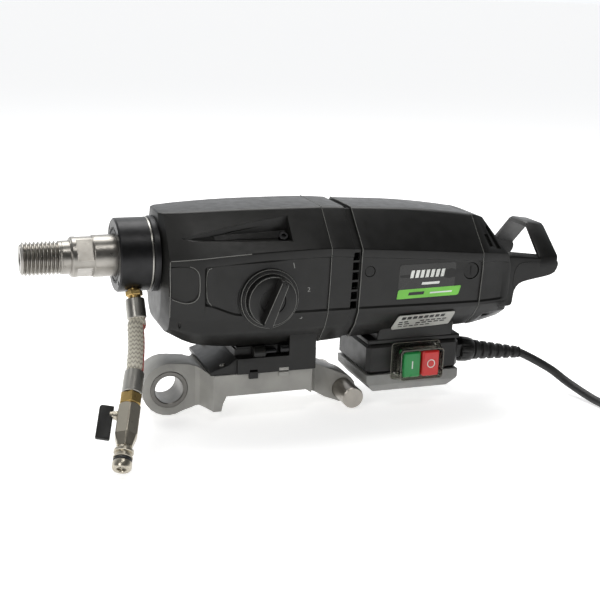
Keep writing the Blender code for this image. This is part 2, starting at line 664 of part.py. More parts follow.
def motor():
    """The armature on its shaft, with pinion, commutator and fan, and the field around it."""
    axis = ARMATURE_AXIS
    rod("armature_shaft", "steel", (276.3, *axis), (466.5, *axis), 6, 20)
    phase = heading(ARMATURE_AXIS, LAY_AXIS)
    teeth = [(y, z + MOTOR_AXIS) for y, z in gear_outline(MOTOR_PINION_TEETH, FINE, phase)]
    prism("armature_pinion", "steel", teeth, "end", 265, 276)
    turned("armature_core", "core_iron", (0, *axis), (1, 0, 0), [
        (322, 15), (326, 24), (335, 24), (335, 28), (400, 28), (400, 24), (412, 22), (416, 13),
        (416, 6 + GAP), (322, 6 + GAP)], closed=True, steps=24)
    ring("commutator", "copper", (426, *axis), (1, 0, 0), 20, 6 + GAP, 16, 24)
    ring("stator_core", "core_iron", (335, *axis), (1, 0, 0), 65, 28.8, 50, 32)
    blades = []
    for i in range(9):
        for offset, radius in ((-0.26, 14), (-0.05, 44), (0.05, 44), (0.26, 14)):
            angle = 2 * math.pi * i / 9 + offset
            blades.append((radius * math.cos(angle), radius * math.sin(angle) + MOTOR_AXIS))
    fan = prism("cooling_fan", "grey_plastic", blades, "end", 299, 308)
    cut(fan, rod("fan_hole", None, (298, *axis), (309, *axis), 6 + GAP, 20))
    ring("armature_bearing_front", "stainless", (287, *axis), (1, 0, 0), 9, 6 + GAP, 12.7, 24)
    ring("armature_bearing_rear", "stainless", (456, *axis), (1, 0, 0), 9, 6 + GAP, 13, 24)
    plate = prism("bearing_plate", "cast_grey", flat_loop(291, RING_WALL + 0.9), "end", 286.6, 296.4)
    cut(plate, rod("plate_motor", None, (280, *axis), (300, *axis), 12.7 + GAP),
        rod("plate_lay", None, (280, *LAY_AXIS), (300, *LAY_AXIS), 13 + GAP))
    for name, side in (("near", -1), ("far", 1)):
        inner, outer = sorted((side * 16.8, side * 36))
        box(f"brush_{name}", "carbon", (BRUSH_STATION - 3.5, inner, MOTOR_AXIS - 4),
            (BRUSH_STATION + 3.5, outer, MOTOR_AXIS + 4))
        turned(f"brush_holder_{name}", "black_plastic", (BRUSH_STATION, 0, MOTOR_AXIS), (0, side, 0), [
            (20, 8.5), (59.6, 8.5), (59.6, 0), (57, 0), (57, 6), (20, 6)], closed=True, steps=24)


# ---------------------------------------------------------------- mounting

def arc_points(centre, radius, start, end, count):
    """Points on an arc, from one angle in degrees to another."""
    angles = [math.radians(start + (end - start) * i / (count - 1)) for i in range(count)]
    return [(centre[0] + radius * math.cos(a), centre[1] + radius * math.sin(a)) for a in angles]


def clamp_plate():
    """The cast plate under the gearbox: a bushed ring lug, a seat, a foot and a pin lug."""
    side_view = [(279.5, -114.8), (172, -114.8), (158, -109.5)]
    side_view += arc_points(RING, 26.6, 80, 300, 16)
    side_view += [(160, -154), (166, -151.5), (183, -151.5), (184.5, -144), (188, -SPINDLE_TO_SEAT),
                  (270, -SPINDLE_TO_SEAT), (300, -156)]
    side_view += arc_points(PIN, 14.4, 235, 430, 10)
    plan_half = [(105, 17), (163, 17), (167, 20), (170.5, 28), (175, 42.8), (276, 42.8),
                 (281, 28), (288, 19.5), (296, 17), (345, 17)]
    plan_view = plan_half + [(s, -y) for s, y in reversed(plan_half)]
    plate = prism("clamp_plate", "cast_grey", side_view, "side", -43, 43)
    boolean(plate, prism("plan_block", None, plan_view, "plan", -170, -100), "INTERSECT")
    cut(plate,
        rod("ring_bore", None, (RING[0], -25, RING[1]), (RING[0], 25, RING[1]), 18.5 + GAP, 32),
        rod("pin_bore", None, (PIN[0], -25, PIN[1]), (PIN[0], 25, PIN[1]), 11 + GAP, 24))
    ring("ring_bush", "steel", (RING[0], -17.4, RING[1]), (0, 1, 0), 34.8, 14, 18.5, 32)
    rod("clamp_pin", "steel", (PIN[0], -48, PIN[1]), (PIN[0], 48, PIN[1]), 11, 24)


def mounting_block():
    """The black foot between gearbox and clamp plate."""
    block = box("mounting_block", "black_cast", (198, -45, -114.4), (278.6, 45, -92))
    join(block,
         prism("foot_flange", None, [(172, -114.4), (172, -111), (190, -105), (199, -98),
                                     (199, -114.4)], "side", -42, 42),
         box("foot_neck", None, (200, -33, -93), (277, 33, -90.4)))
    cut(block, *[box(f"notch_{i}", None, (s - 4, -50, -116), (s + 4, -38, -110.5))
                 for i, s in enumerate((214.5, 245.3))])


def switch_box():
    """The switch box under the motor: casing, cover, switch, clear guard and buttons."""
    casing = box("switch_box", "black_plastic", (336.5, -40, -129), (440, 40, -96.3))
    chamfer(casing, 4, 60)
    cut(casing, box("box_hollow", None, (340, -36.5, -135), (436.5, 36.5, -99.5)),
        box("box_window", None, (371, -45, -123), (411.5, -30, -108)))
    cover = prism("switch_cover", "grey_plastic", [
        (336.5, -129.3), (440, -129.3), (440, -138), (431, -149), (347, -149), (337, -138)],
        "side", -40, 40)
    taper = prism("cover_taper", None, [(-40, -129), (40, -129), (40, -140), (33, -150), (-33, -150),
                                        (-40, -140)], "end", 330, 445)
    boolean(cover, taper, "INTERSECT")
    cut(cover, box("cover_hollow", None, (341, -36, -145), (436, 36, -120)))
    box("switch_module", "black_plastic", (364, -29.3, -126), (420, -5, -101))
    frames = []
    for y, grow in ((-40.3, 3.5), (-58, 0), (-58, -1.6), (-40.3, -1.6)):
        low = (GUARD[0][0] - grow, GUARD[0][1] - grow)
        high = (GUARD[1][0] + grow, GUARD[1][1] + grow)
        c = 3
        frames.append([(low[0] + c, y, low[1]), (high[0] - c, y, low[1]),
                       (high[0], y, low[1] + c), (high[0], y, high[1] - c),
                       (high[0] - c, y, high[1]), (low[0] + c, y, high[1]),
                       (low[0], y, high[1] - c), (low[0], y, low[1] + c)])
    skin("switch_guard", "clear", frames, closed=True)
    for name, finish, low in (("start_button", "green", 369.5), ("stop_button", "red", 390.4)):
        middle = low + BUTTON_WIDTH / 2
        button = box(name, finish, (low, -57, -129), (low + BUTTON_WIDTH, -43.5, -102))
        chamfer(button, 1.5, 60)
        join(button, box(name + "_stem", None, (middle - 5, -45, -121), (middle + 5, -33, -110)))


def gland():
    """The cable gland on the box's end and the ribbed bend relief behind its nut."""
    start, end = GLAND
    direction = (Vector(end) - Vector(start)).normalized()

    def reach(distance):
        return tuple(Vector(start) + direction * distance)

    seat = Vector(start) + Vector((GAP, 0, 0))
    fitting = rod("cable_gland", "black_plastic", tuple(seat), tuple(seat + Vector((11, 0, 0))),
                  12.5, 6)
    join(fitting, rod("gland_nut", None, reach(10), reach(26), 13.5, 12, end_radius=11.5))
    rings = [(26.4, 8.6)]
    ribs = 6
    for i in range(ribs):
        at = 27 + i * 9.2
        radius = 10.5 - 0.75 * i
        rings += [(at, radius), (at + 5.6, radius - 0.3), (at + 5.9, radius - 3), (at + 8.9, radius - 3.1)]
    rings += [(RELIEF_LENGTH, 6.0)]
    turned("bend_relief", "rubber", start, tuple(direction), [(26.4, 0)] + rings +
           [(RELIEF_LENGTH, 0)], steps=16)
    return [reach(RELIEF_LENGTH + 3 * GAP), reach(RELIEF_LENGTH + 8), reach(RELIEF_LENGTH + 16)]


def resting(places):
    """The same places, none lower than a cord that lies on the table."""
    return [(station, side, max(height, TABLE + CORD_R)) for station, side, height in places]


def cord():
    """The mains cord, the coil of its put-away length and the plug."""
    route = gland() + CORD_ROUTE
    tube("mains_cord", "rubber", resting(hose_path(route, 20)), CORD_R)
    ring("cord_coil", "rubber", (*COIL_CENTRE, TABLE), (0, 0, 1), 18, COIL_R - 18.3,
         COIL_R + 18.3, 40)
    tilt = math.atan((PLUG_R - NECK_R) / PLUG_LENGTH)
    axis = Vector((0, math.cos(tilt), math.sin(tilt)))
    rear = Vector((COIL_CENTRE[0] + 72, PLUG_SIDE, TABLE + NECK_R * math.cos(tilt)))
    lead = [(COIL_CENTRE[0] + COIL_R + 23.6, COIL_CENTRE[1] - 6, TABLE + CORD_R),
            (COIL_CENTRE[0] + 75.4, COIL_CENTRE[1] + 24, TABLE + CORD_R),
            tuple(rear - axis * 14), tuple(rear - axis * 3 * GAP)]
    tube("plug_lead", "rubber", resting(hose_path(lead, 8)), CORD_R)
    body = turned("mains_plug", "rubber", tuple(rear), tuple(axis), [
        (0, 0), (0, NECK_R), (9, 6.6), (22, 10.8), (36, 14.6), (PLUG_LENGTH, PLUG_R),
        (PLUG_LENGTH, 0)], steps=20)
    for side in (-9.5, 9.5):
        foot = rear + Vector((side, 0, 0))
        pin = rod(f"plug_pin_{side}", None, tuple(foot + axis * (PLUG_LENGTH - 7)),
                  tuple(foot + axis * (PLUG_LENGTH + 19)), 2.4, 10)
        join(body, pin)


def hose():
    """The water hose with its ferrules, union nut, ball valve, lever and plug-in nozzle."""
    outwards = Vector((0, -math.sin(HOSE_TILT), -math.cos(HOSE_TILT)))
    top = Vector(from_collar(44 + GAP))
    rod("hose_ferrule_top", "stainless", tuple(top), tuple(top + outwards * 19), 9.2, 20)
    start = top + outwards * (19 + 2 * GAP)
    along_valve = (Vector(NOZZLE_END) - Vector(HOSE_END)).normalized()

    def reach(distance):
        return tuple(Vector(HOSE_END) + along_valve * distance)

    route = [tuple(start), tuple(start + outwards * 6), *HOSE_ROUTE, reach(-6), HOSE_END]
    tube("water_hose", "braid", hose_path(route, 18), HOSE_R, 3)
    rod("hose_ferrule_bottom", "stainless", reach(2 * GAP), reach(23.6), 9.2, 20)
    rod("hose_nut", "brass", reach(24), reach(36), 10.6, 6)
    body = rod("valve_body", "nickel", reach(36.3), reach(66), 11.2, 6)
    join(body, rod("valve_taper", None, reach(65), reach(77), 11.2, 6, end_radius=7.5))
    stem_foot = Vector(reach(STEM_REACH))
    stem = lever_axis(along_valve)
    join(body, rod("valve_stem", None, tuple(stem_foot + stem * 8), tuple(stem_foot + stem * 13), 4, 16))
    turned("hose_nozzle", "nickel", reach(0), tuple(along_valve), [
        (77.3, 0), (77.3, 6.5), (80, 6.5), (80, 8.8), (83, 8.8), (83, 7), (86.5, 7), (86.5, 8.6),
        (88, 8.6), (88, 6.6), (91.5, 6.6), (91.5, 8.4), (97.5, 8.4), (98.5, 7.6), (98.5, 4),
        (90, 4), (90, 0)], steps=16)
    across = along_valve.cross(stem)
    frame = Matrix((across, along_valve, stem)).transposed().to_4x4()
    bm = bmesh.new()
    bmesh.ops.create_cube(bm, size=1.0)
    bm.transform(Matrix.Diagonal((4.6 * MM, 34 * MM, 13 * MM, 1)))
    centre = stem_foot + along_valve * 8.5 + stem * (13.3 + 6.5)
    bm.transform(Matrix.Translation(point(*centre)) @ frame)
    lever = from_bmesh("valve_lever", bm, "black_plastic")
    chamfer(lever, 1.2, 60)


def lever_axis(along_valve):
    """The direction of the valve's stem: square to the valve, out to the spindle's side."""
    outwards = Vector((-1, 0, 0))
    return (outwards - along_valve * outwards.dot(along_valve)).normalized()


gearbox_housing()
vent_housing()
motor_housing()
rear_cap()
water_collar()
spindle()
countershaft()
shift_fork()
selector()
motor()
clamp_plate()
mounting_block()
switch_box()
cord()
hose()
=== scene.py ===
"""Looks, camera and light for the rig-mounted core drill motor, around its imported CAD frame.

Lengths are millimetres until point() turns them into metres in the row's frame. A place is
(station, side, height): station runs from the spindle's tip towards the rear handle, side is
across the machine and negative on the selector's side, and height is measured from the
spindle's axis.
"""
import math

import bmesh
import bpy
from mathutils import Matrix, Vector


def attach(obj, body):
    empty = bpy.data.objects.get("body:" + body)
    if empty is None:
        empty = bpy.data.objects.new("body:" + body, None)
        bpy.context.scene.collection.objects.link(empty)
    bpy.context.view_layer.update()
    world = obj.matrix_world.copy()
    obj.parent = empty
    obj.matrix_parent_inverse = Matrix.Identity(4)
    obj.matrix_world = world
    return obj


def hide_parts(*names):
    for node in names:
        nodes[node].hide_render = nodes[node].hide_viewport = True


MM = 0.001
TIP_TO_SEAT = 230.0
SPINDLE_TO_SEAT = 136.5
TABLE = -163.0
MOTOR_AXIS = -20.0

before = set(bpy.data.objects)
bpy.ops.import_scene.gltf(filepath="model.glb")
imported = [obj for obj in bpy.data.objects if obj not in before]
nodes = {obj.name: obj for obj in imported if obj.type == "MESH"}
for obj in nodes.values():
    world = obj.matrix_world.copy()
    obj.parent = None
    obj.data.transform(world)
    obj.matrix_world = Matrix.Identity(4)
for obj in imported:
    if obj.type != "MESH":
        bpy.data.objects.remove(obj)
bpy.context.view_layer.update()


def point(station, side, height):
    """A place on the machine, in metres in the row's frame."""
    return Vector((station - TIP_TO_SEAT, side, height + SPINDLE_TO_SEAT)) * MM


# ---------------------------------------------------------------- camera

CAMERA_PLACE = (-0.3389, -1.0474, 0.3867)
CAMERA_RIGHT = Vector((0.94101, -0.33688, 0.03198))
CAMERA_UP = Vector((0.06020, 0.25964, 0.96389))
CAMERA_LENS = 68.45

lens = bpy.data.cameras.new("camera")
lens.lens = CAMERA_LENS
lens.sensor_width = 36.0
lens.clip_start = 0.01
lens.clip_end = 200.0
camera = bpy.data.objects.new("camera", lens)
bpy.context.scene.collection.objects.link(camera)
facing = CAMERA_RIGHT.cross(CAMERA_UP)
camera.matrix_world = Matrix.Translation(CAMERA_PLACE) @ Matrix(
    (CAMERA_RIGHT, CAMERA_UP, facing)).transposed().to_4x4()
bpy.context.scene.camera = camera


# ---------------------------------------------------------------- looks

def new_look(name, colour, roughness, metallic=0.0, specular=0.5, coat=0.0):
    """A principled material with its plain values set."""
    look = bpy.data.materials.new(name)
    look.use_nodes = True
    shader = look.node_tree.nodes["Principled BSDF"]
    shader.inputs["Base Color"].default_value = (*colour, 1.0)
    shader.inputs["Roughness"].default_value = roughness
    shader.inputs["Metallic"].default_value = metallic
    shader.inputs["Specular IOR Level"].default_value = specular
    shader.inputs["Coat Weight"].default_value = coat
    look.diffuse_color = (*colour, 1.0)
    return look


def shader_of(look):
    """The principled shader of a look."""
    return look.node_tree.nodes["Principled BSDF"]


NOISE_LOW = 0.3              # a noise's values mostly lie between these two
NOISE_HIGH = 0.7


def pattern(look, size, detail=3.0, stretch=(1.0, 1.0, 1.0)):
    """A noise of about that feature size in millimetres, stretched along the axes."""
    tree = look.node_tree
    coordinates = tree.nodes.new("ShaderNodeTexCoord")
    mapping = tree.nodes.new("ShaderNodeMapping")
    mapping.inputs["Scale"].default_value = stretch
    noise = tree.nodes.new("ShaderNodeTexNoise")
    noise.inputs["Scale"].default_value = 1.0 / (size * MM)
    noise.inputs["Detail"].default_value = detail
    tree.links.new(coordinates.outputs["Object"], mapping.inputs["Vector"])
    tree.links.new(mapping.outputs["Vector"], noise.inputs["Vector"])
    return noise.outputs["Fac"]


def shift(look, fac, low, high):
    """A noise's middle range spread over other values."""
    spread = look.node_tree.nodes.new("ShaderNodeMapRange")
    spread.inputs["From Min"].default_value = NOISE_LOW
    spread.inputs["From Max"].default_value = NOISE_HIGH
    spread.inputs["To Min"].default_value = low
    spread.inputs["To Max"].default_value = high
    look.node_tree.links.new(fac, spread.inputs["Value"])
    return spread.outputs["Result"]


def vary_roughness(look, fac, low, high):
    """Roughness between two values."""
    look.node_tree.links.new(shift(look, fac, low, high), shader_of(look).inputs["Roughness"])


def vary_colour(look, fac, dark, light):
    """Base colour between two colours."""
    ramp = look.node_tree.nodes.new("ShaderNodeValToRGB")
    ramp.color_ramp.elements[0].position = NOISE_LOW
    ramp.color_ramp.elements[0].color = (*dark, 1.0)
    ramp.color_ramp.elements[1].position = NOISE_HIGH
    ramp.color_ramp.elements[1].color = (*light, 1.0)
    look.node_tree.links.new(fac, ramp.inputs["Fac"])
    look.node_tree.links.new(ramp.outputs["Color"], shader_of(look).inputs["Base Color"])


def relief(look, fac, depth):
    """Bump of a depth in millimetres."""
    bump = look.node_tree.nodes.new("ShaderNodeBump")
    bump.inputs["Distance"].default_value = depth * MM
    bump.inputs["Strength"].default_value = 1.0
    before = shader_of(look).inputs["Normal"]
    if before.is_linked:
        look.node_tree.links.new(before.links[0].from_socket, bump.inputs["Normal"])
    look.node_tree.links.new(fac, bump.inputs["Height"])
    look.node_tree.links.new(bump.outputs["Normal"], before)


def moulded(name, colour, roughness, grain=0.5, depth=0.03, specular=0.5):
    """Grained plastic or paint: slight shade and gloss changes and a fine grain."""
    look = new_look(name, colour, roughness, specular=specular)
    shade = pattern(look, 28.0, 4.0)
    vary_colour(look, shade, [c * 0.86 for c in colour], [c * 1.16 for c in colour])
    vary_roughness(look, pattern(look, 9.0, 5.0), roughness - 0.04, roughness + 0.06)
    relief(look, pattern(look, grain, 2.0), depth)
    return look


def metal(name, colour, roughness, lines=None, size=0.25, depth=0.006, stain=0.1):
    """Bare metal with tool marks; lines stretches them, such as rings round the X axis."""
    look = new_look(name, colour, roughness, metallic=1.0)
    vary_colour(look, pattern(look, 12.0, 5.0), [c * (1 - stain) for c in colour],
                [min(1.0, c * (1 + stain)) for c in colour])
    vary_roughness(look, pattern(look, 4.0, 4.0), roughness - 0.03, roughness + 0.05)
    if depth:
        relief(look, pattern(look, size, 2.0, stretch=lines or (1.0, 1.0, 1.0)), depth)
    return look


RINGS_X = (1.0, 0.02, 0.02)

LOOKS = {
    "black_cast": moulded("black_cast", (0.0075, 0.0074, 0.0068), 0.36, grain=0.6, depth=0.03,
                          specular=0.34),
    "black_plastic": moulded("black_plastic", (0.0070, 0.0069, 0.0064), 0.35, grain=0.45,
                             depth=0.025, specular=0.36),
    "black_satin": metal("black_satin", (0.035, 0.035, 0.036), 0.36, size=0.8, depth=0.003),
    "cast_grey": moulded("cast_grey", (0.30, 0.295, 0.275), 0.4, grain=0.8, depth=0.06),
    "steel": metal("steel", (0.33, 0.315, 0.29), 0.3, depth=0.0, stain=0.14),
    "steel_y": metal("steel_y", (0.40, 0.375, 0.34), 0.33, size=5.0, depth=0.004),
    "steel_dark": metal("steel_dark", (0.16, 0.155, 0.145), 0.36, size=5.0, depth=0.003),
    "stainless": metal("stainless", (0.40, 0.39, 0.36), 0.3, depth=0.0, stain=0.04),
    "nickel": metal("nickel", (0.52, 0.48, 0.40), 0.3, depth=0.0, stain=0.04),
    "brass": metal("brass", (0.47, 0.33, 0.13), 0.3, depth=0.0, stain=0.14),
    "copper": metal("copper", (0.60, 0.27, 0.14), 0.32, RINGS_X),
    "core_iron": metal("core_iron", (0.17, 0.17, 0.18), 0.45, (1.0, 0.05, 0.05), depth=0.02),
    "carbon": moulded("carbon", (0.03, 0.03, 0.031), 0.5, grain=0.2, depth=0.03),
    "grey_plastic": moulded("grey_plastic", (0.235, 0.235, 0.225), 0.48, grain=0.6, depth=0.03),
    "green": moulded("green", (0.012, 0.235, 0.055), 0.3, grain=3.0, depth=0.02),
    "red": moulded("red", (0.56, 0.022, 0.02), 0.16, grain=3.0, depth=0.02),
    # Pale grey for thin beads on edges, seams and rims: a painted highlight.
    "painted_highlight": moulded("painted_highlight", (0.15, 0.15, 0.14), 0.4, grain=0.8, depth=0.02),
    # Pale grey for the beads round the clear guard's edges: a painted highlight.
    "painted_guard_highlight": moulded("painted_guard_highlight", (0.20, 0.19, 0.165), 0.25, grain=0.8, depth=0.01),
    "rubber": moulded("rubber", (0.014, 0.014, 0.014), 0.5, grain=0.5, depth=0.05),
    "white_print": moulded("white_print", (0.72, 0.74, 0.70), 0.45, grain=0.4, depth=0.01),
    "label_black": moulded("label_black", (0.013, 0.013, 0.012), 0.25, grain=2.0, depth=0.004),
    "label_green": moulded("label_green", (0.16, 0.52, 0.055), 0.35, grain=2.0, depth=0.004),
    "plate_silver": moulded("plate_silver", (0.42, 0.42, 0.39), 0.36, grain=0.3, depth=0.006),
    "print_black": moulded("print_black", (0.02, 0.02, 0.02), 0.5, grain=0.4, depth=0.004), }


def clear_look():
    """The switch guard's smoky clear plastic."""
    look = new_look("clear", (0.86, 0.85, 0.78), 0.08)
    shader = shader_of(look)
    shader.inputs["Transmission Weight"].default_value = 1.0
    shader.inputs["IOR"].default_value = 1.2
    vary_roughness(look, pattern(look, 5.0, 3.0), 0.05, 0.13)
    relief(look, pattern(look, 6.0, 2.0), 0.05)
    return look


LOOKS["clear"] = clear_look()


def braid_look():
    """Woven yarn: the strands' colour, darkened as painted shade where they meet, comes with the
    mesh.
    """
    look = new_look("braid", (0.55, 0.51, 0.42), 0.42, coat=0.35)
    shader_of(look).inputs["Coat Roughness"].default_value = 0.12
    shade = look.node_tree.nodes.new("ShaderNodeAttribute")
    shade.attribute_name = "yarn"
    look.node_tree.links.new(shade.outputs["Color"], shader_of(look).inputs["Base Color"])
    relief(look, pattern(look, 0.35, 2.0), 0.03)
    return look


LOOKS["braid"] = braid_look()


# ---------------------------------------------------------------- mesh helpers

def mesh_of(bm, name):
    """A bmesh's content as a mesh, with the bmesh freed."""
    mesh = bpy.data.meshes.new(name)
    bm.to_mesh(mesh)
    bm.free()
    return mesh


def bmesh_of(mesh):
    """A mesh's content as a bmesh, with the mesh removed."""
    bm = bmesh.new()
    bm.from_mesh(mesh)
    bpy.data.meshes.remove(mesh)
    return bm


def keep(name, bm, look, slot=None, body="machine", smooth=35.0, replaces=()):
    """A finished piece from a bmesh, riding on a body. The slot argument is not used."""
    return place(name, mesh_of(bm, name), look, slot, body, smooth, replaces)


def place(name, mesh, look, slot=None, body="machine", smooth=35.0, replaces=()):
    """A finished piece from a mesh, riding on a body."""
    slot = slot or look
    mesh.shade_smooth()
    mesh.set_sharp_from_angle(angle=math.radians(smooth))
    mesh.materials.clear()
    mesh.materials.append(LOOKS[look])
    piece = bpy.data.objects.new(name, mesh)
    bpy.context.scene.collection.objects.link(piece)
    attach(piece, body)
    if replaces:
        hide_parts(*replaces)
    return piece


def tidy(bm):
    """Faces turned outwards."""
    bmesh.ops.recalc_face_normals(bm, faces=bm.faces)
    if bm.calc_volume(signed=True) < 0:
        bmesh.ops.reverse_faces(bm, faces=bm.faces)
    return bm


def scratch(bm):
    """A working object that isn't part of the result."""
    holder = bpy.data.objects.new("scratch", mesh_of(bm, "scratch"))
    bpy.context.scene.collection.objects.link(holder)
    return holder


def taken(holder):
    """The working object's final mesh, with the object removed."""
    graph = bpy.context.evaluated_depsgraph_get()
    mesh = bpy.data.meshes.new_from_object(holder.evaluated_get(graph))
    bpy.data.objects.remove(holder, do_unlink=True)
    return mesh


def combine(bm, others, operation="DIFFERENCE"):
    """A bmesh with others cut away or fused on, as a new bmesh."""
    holder = scratch(bm)
    helpers = [scratch(other) for other in others]
    for helper in helpers:
        step = holder.modifiers.new("Combine", "BOOLEAN")
        step.operation = operation
        step.object = helper
    mesh = taken(holder)
    for helper in helpers:
        bpy.data.objects.remove(helper, do_unlink=True)
    return bmesh_of(mesh)


def joined(parts):
    """Several bmeshes in one, not fused."""
    whole = bmesh.new()
    for part in parts:
        mesh = mesh_of(part, "part")
        whole.from_mesh(mesh)
        bpy.data.meshes.remove(mesh)
    return whole


def rounded(bm, width, segments=3, angle=28.0):
    """The same solid with its sharp edges rounded, width in millimetres."""
    holder = scratch(bm)
    step = holder.modifiers.new("Round", "BEVEL")
    step.width = width * MM
    step.segments = segments
    step.limit_method = "ANGLE"
    step.angle_limit = math.radians(angle)
    step.use_clamp_overlap = True
    return bmesh_of(taken(holder))


def add_rings(bm, rings):
    """New vertices at rings of places."""
    return [[bm.verts.new(point(*p)) for p in ring] for ring in rings]


def skin(bm, loops, closed=False):
    """Faces between loops of vertices, the ends capped or joined to each other."""
    count = len(loops[0])
    for i in range(len(loops) if closed else len(loops) - 1):
        here, there = loops[i], loops[(i + 1) % len(loops)]
        for j in range(count):
            k = (j + 1) % count
            bm.faces.new((here[j], here[k], there[k], there[j]))
    if not closed:
        bm.faces.new(loops[0])
        bm.faces.new(loops[-1])


def loft(rings, closed=False):
    """A solid through rings of places."""
    bm = bmesh.new()
    skin(bm, add_rings(bm, rings), closed)
    return tidy(bm)


def block(low, high):
    """A box between two places."""
    (a, b, c), (d, e, f) = low, high
    ends = [[(s, b, c), (s, e, c), (s, e, f), (s, b, f)] for s in (a, d)]
    return loft(ends)


def slab(outline, low, high):
    """A side-view outline of (station, height) given thickness across the machine."""
    return loft([[(s, y, z) for s, z in outline] for y in (low, high)])


def full_turn(steps):
    """Angles at even steps round a circle."""
    return [2 * math.pi * i / steps for i in range(steps)]


def bead(distance, radius, size, steps):
    """A closed round profile for turned()."""
    return [(distance + size * math.sin(a), radius + size * math.cos(a))
            for a in full_turn(steps)]


def along(direction, roll=0.0):
    """The rotation that turns +Z to a direction."""
    turn = Vector((0, 0, 1)).rotation_difference(Vector(direction).normalized())
    return turn.to_matrix().to_4x4() @ Matrix.Rotation(roll, 4, "Z")


def turned(origin, direction, profile, steps=64, closed=False, roll=0.0):
    """A turned solid: profile points are (distance along the axis, radius)."""
    matrix = Matrix.Translation(point(*origin)) @ along(direction, roll)
    bm = bmesh.new()
    rings = []
    for distance, radius in profile:
        if radius == 0:
            rings.append([bm.verts.new(matrix @ Vector((0, 0, distance * MM)))])
            continue
        rings.append([bm.verts.new(matrix @ (Vector((radius * math.cos(t), radius * math.sin(t),
                                                     distance)) * MM)) for t in full_turn(steps)])
    pairs = list(zip(rings, rings[1:]))
    if closed:
        pairs.append((rings[-1], rings[0]))
    for here, there in pairs:
        for i in range(steps):
            k = (i + 1) % steps
            corners = [here[i % len(here)], here[k % len(here)],
                       there[k % len(there)], there[i % len(there)]]
            unique = list(dict.fromkeys(corners))
            if len(unique) > 2:
                bm.faces.new(unique)
    return tidy(bm)


def rod(start, end, radius, sides=32, roll=0.0):
    """A round or many-sided bar between two places."""
    axis = Vector(end) - Vector(start)
    profile = [(0, 0), (0, radius), (axis.length, radius), (axis.length, 0)]
    return turned(start, axis, profile, sides, roll=roll)


def node_copy(name):
    """The mesh of a CAD node, welded, with its flat faces whole again."""
    bm = bmesh.new()
    bm.from_mesh(nodes[name].data)
    bmesh.ops.remove_doubles(bm, verts=bm.verts, dist=0.00001)
    bmesh.ops.dissolve_limit(bm, angle_limit=math.radians(0.7), verts=bm.verts, edges=bm.edges)
    return tidy(bm)


def dress(name, width, look, angle, segments=3, body="machine"):
    """A CAD node's rounded-edged copy, standing for it."""
    copy = rounded(node_copy(name), width, segments, angle)
    return keep(name + "_finish", copy, look, body=body, replaces=(name,))


def smooth_route(through, count):
    """Places at even steps along a smooth curve through a route's own points."""
    route = [Vector(p) for p in through]
    ends = [2 * route[0] - route[1], *route, 2 * route[-1] - route[-2]]
    fine = []
    steps = 24
    for a, b, c, d in zip(ends, ends[1:], ends[2:], ends[3:]):
        for i in range(steps):
            t = i / steps
            fine.append(0.5 * (2 * b + (c - a) * t + (2 * a - 5 * b + 4 * c - d) * t ** 2
                               + (3 * b - a - 3 * c + d) * t ** 3))
    fine.append(route[-1])
    reach = [0.0]
    for a, b in zip(fine, fine[1:]):
        reach.append(reach[-1] + (b - a).length)
    places = []
    k = 0
    for i in range(count):
        want = reach[-1] * i / (count - 1)
        while k < len(reach) - 2 and reach[k + 1] < want:
            k += 1
        share = (want - reach[k]) / (reach[k + 1] - reach[k])
        places.append(fine[k].lerp(fine[k + 1], share))
    return places


def length_of(places):
    """The length of a route."""
    return sum((b - a).length for a, b in zip(places, places[1:]))


# ---------------------------------------------------------------- mains cord

CORD_R = 4.5
GLAND = (Vector((440.0, -18.0, -114.0)), Vector((522.5, -25.0, -123.0)))
RELIEF_LENGTH = 82.0
CORD_ROUTE = [(552.5, -37.0, -139.5), (566.0, -57.0, -151.0), (576.0, -97.0, TABLE + CORD_R),
              (583.0, -143.0, TABLE + CORD_R), (608.0, -179.0, TABLE + CORD_R),
              (651.0, -188.3, TABLE + CORD_R)]
COIL_CENTRE = Vector((657.0, -112.0, TABLE))
TURN_RADII = (66.0, 57.0, 48.0, 39.0)
COIL_ENTRY = 76.3
COIL_TURNS = 8.2375
COIL_START = math.radians(-94.5)
LAYER = 2 * CORD_R
PLUG_SIDE = -48.0
PLUG_LENGTH = 52.0
PLUG_R = 19.0
NECK_R = 6.0
gland_axis = (GLAND[1] - GLAND[0]).normalized()
plug_tilt = math.atan((PLUG_R - NECK_R) / PLUG_LENGTH)
plug_axis = Vector((0, math.cos(plug_tilt), math.sin(plug_tilt)))
plug_rear = Vector((COIL_CENTRE.x + 72, PLUG_SIDE, TABLE + NECK_R * math.cos(plug_tilt)))


def eased(value, start, end):
    """0 before start, 1 after end, smooth between."""
    t = min(1.0, max(0.0, (value - start) / (end - start)))
    return t * t * (3 - 2 * t)


def coil_places():
    """The turns of the coil: the bottom layer inwards, the top layer back out, then down."""
    outwards = list(reversed(TURN_RADII))
    per_turn = 40
    places = []
    for i in range(int(COIL_TURNS * per_turn) + 1):
        turn = i / per_turn
        if turn < 4:
            layer_turn = int(turn)
            before = COIL_ENTRY if layer_turn == 0 else TURN_RADII[layer_turn - 1]
            step = eased(turn - layer_turn, 0.0, 0.16)
            radius = before + (TURN_RADII[layer_turn] - before) * step
            height = CORD_R
        else:
            layer_turn = min(7, int(turn)) - 4
            before = outwards[max(0, layer_turn - 1)]
            step = eased(turn - 4 - layer_turn, 0.0, 0.16)
            radius = before + (outwards[layer_turn] - before) * step
            height = CORD_R + LAYER * eased(turn, 4.0, 4.16)
            fall = math.radians(90) * eased(turn, 8.06, 8.2)
            radius += (COIL_ENTRY - TURN_RADII[0]) * math.sin(fall)
            height -= LAYER * (1 - math.cos(fall))
        angle = COIL_START + 2 * math.pi * turn
        places.append(COIL_CENTRE + Vector((radius * math.cos(angle), radius * math.sin(angle),
                                            height)))
    return places


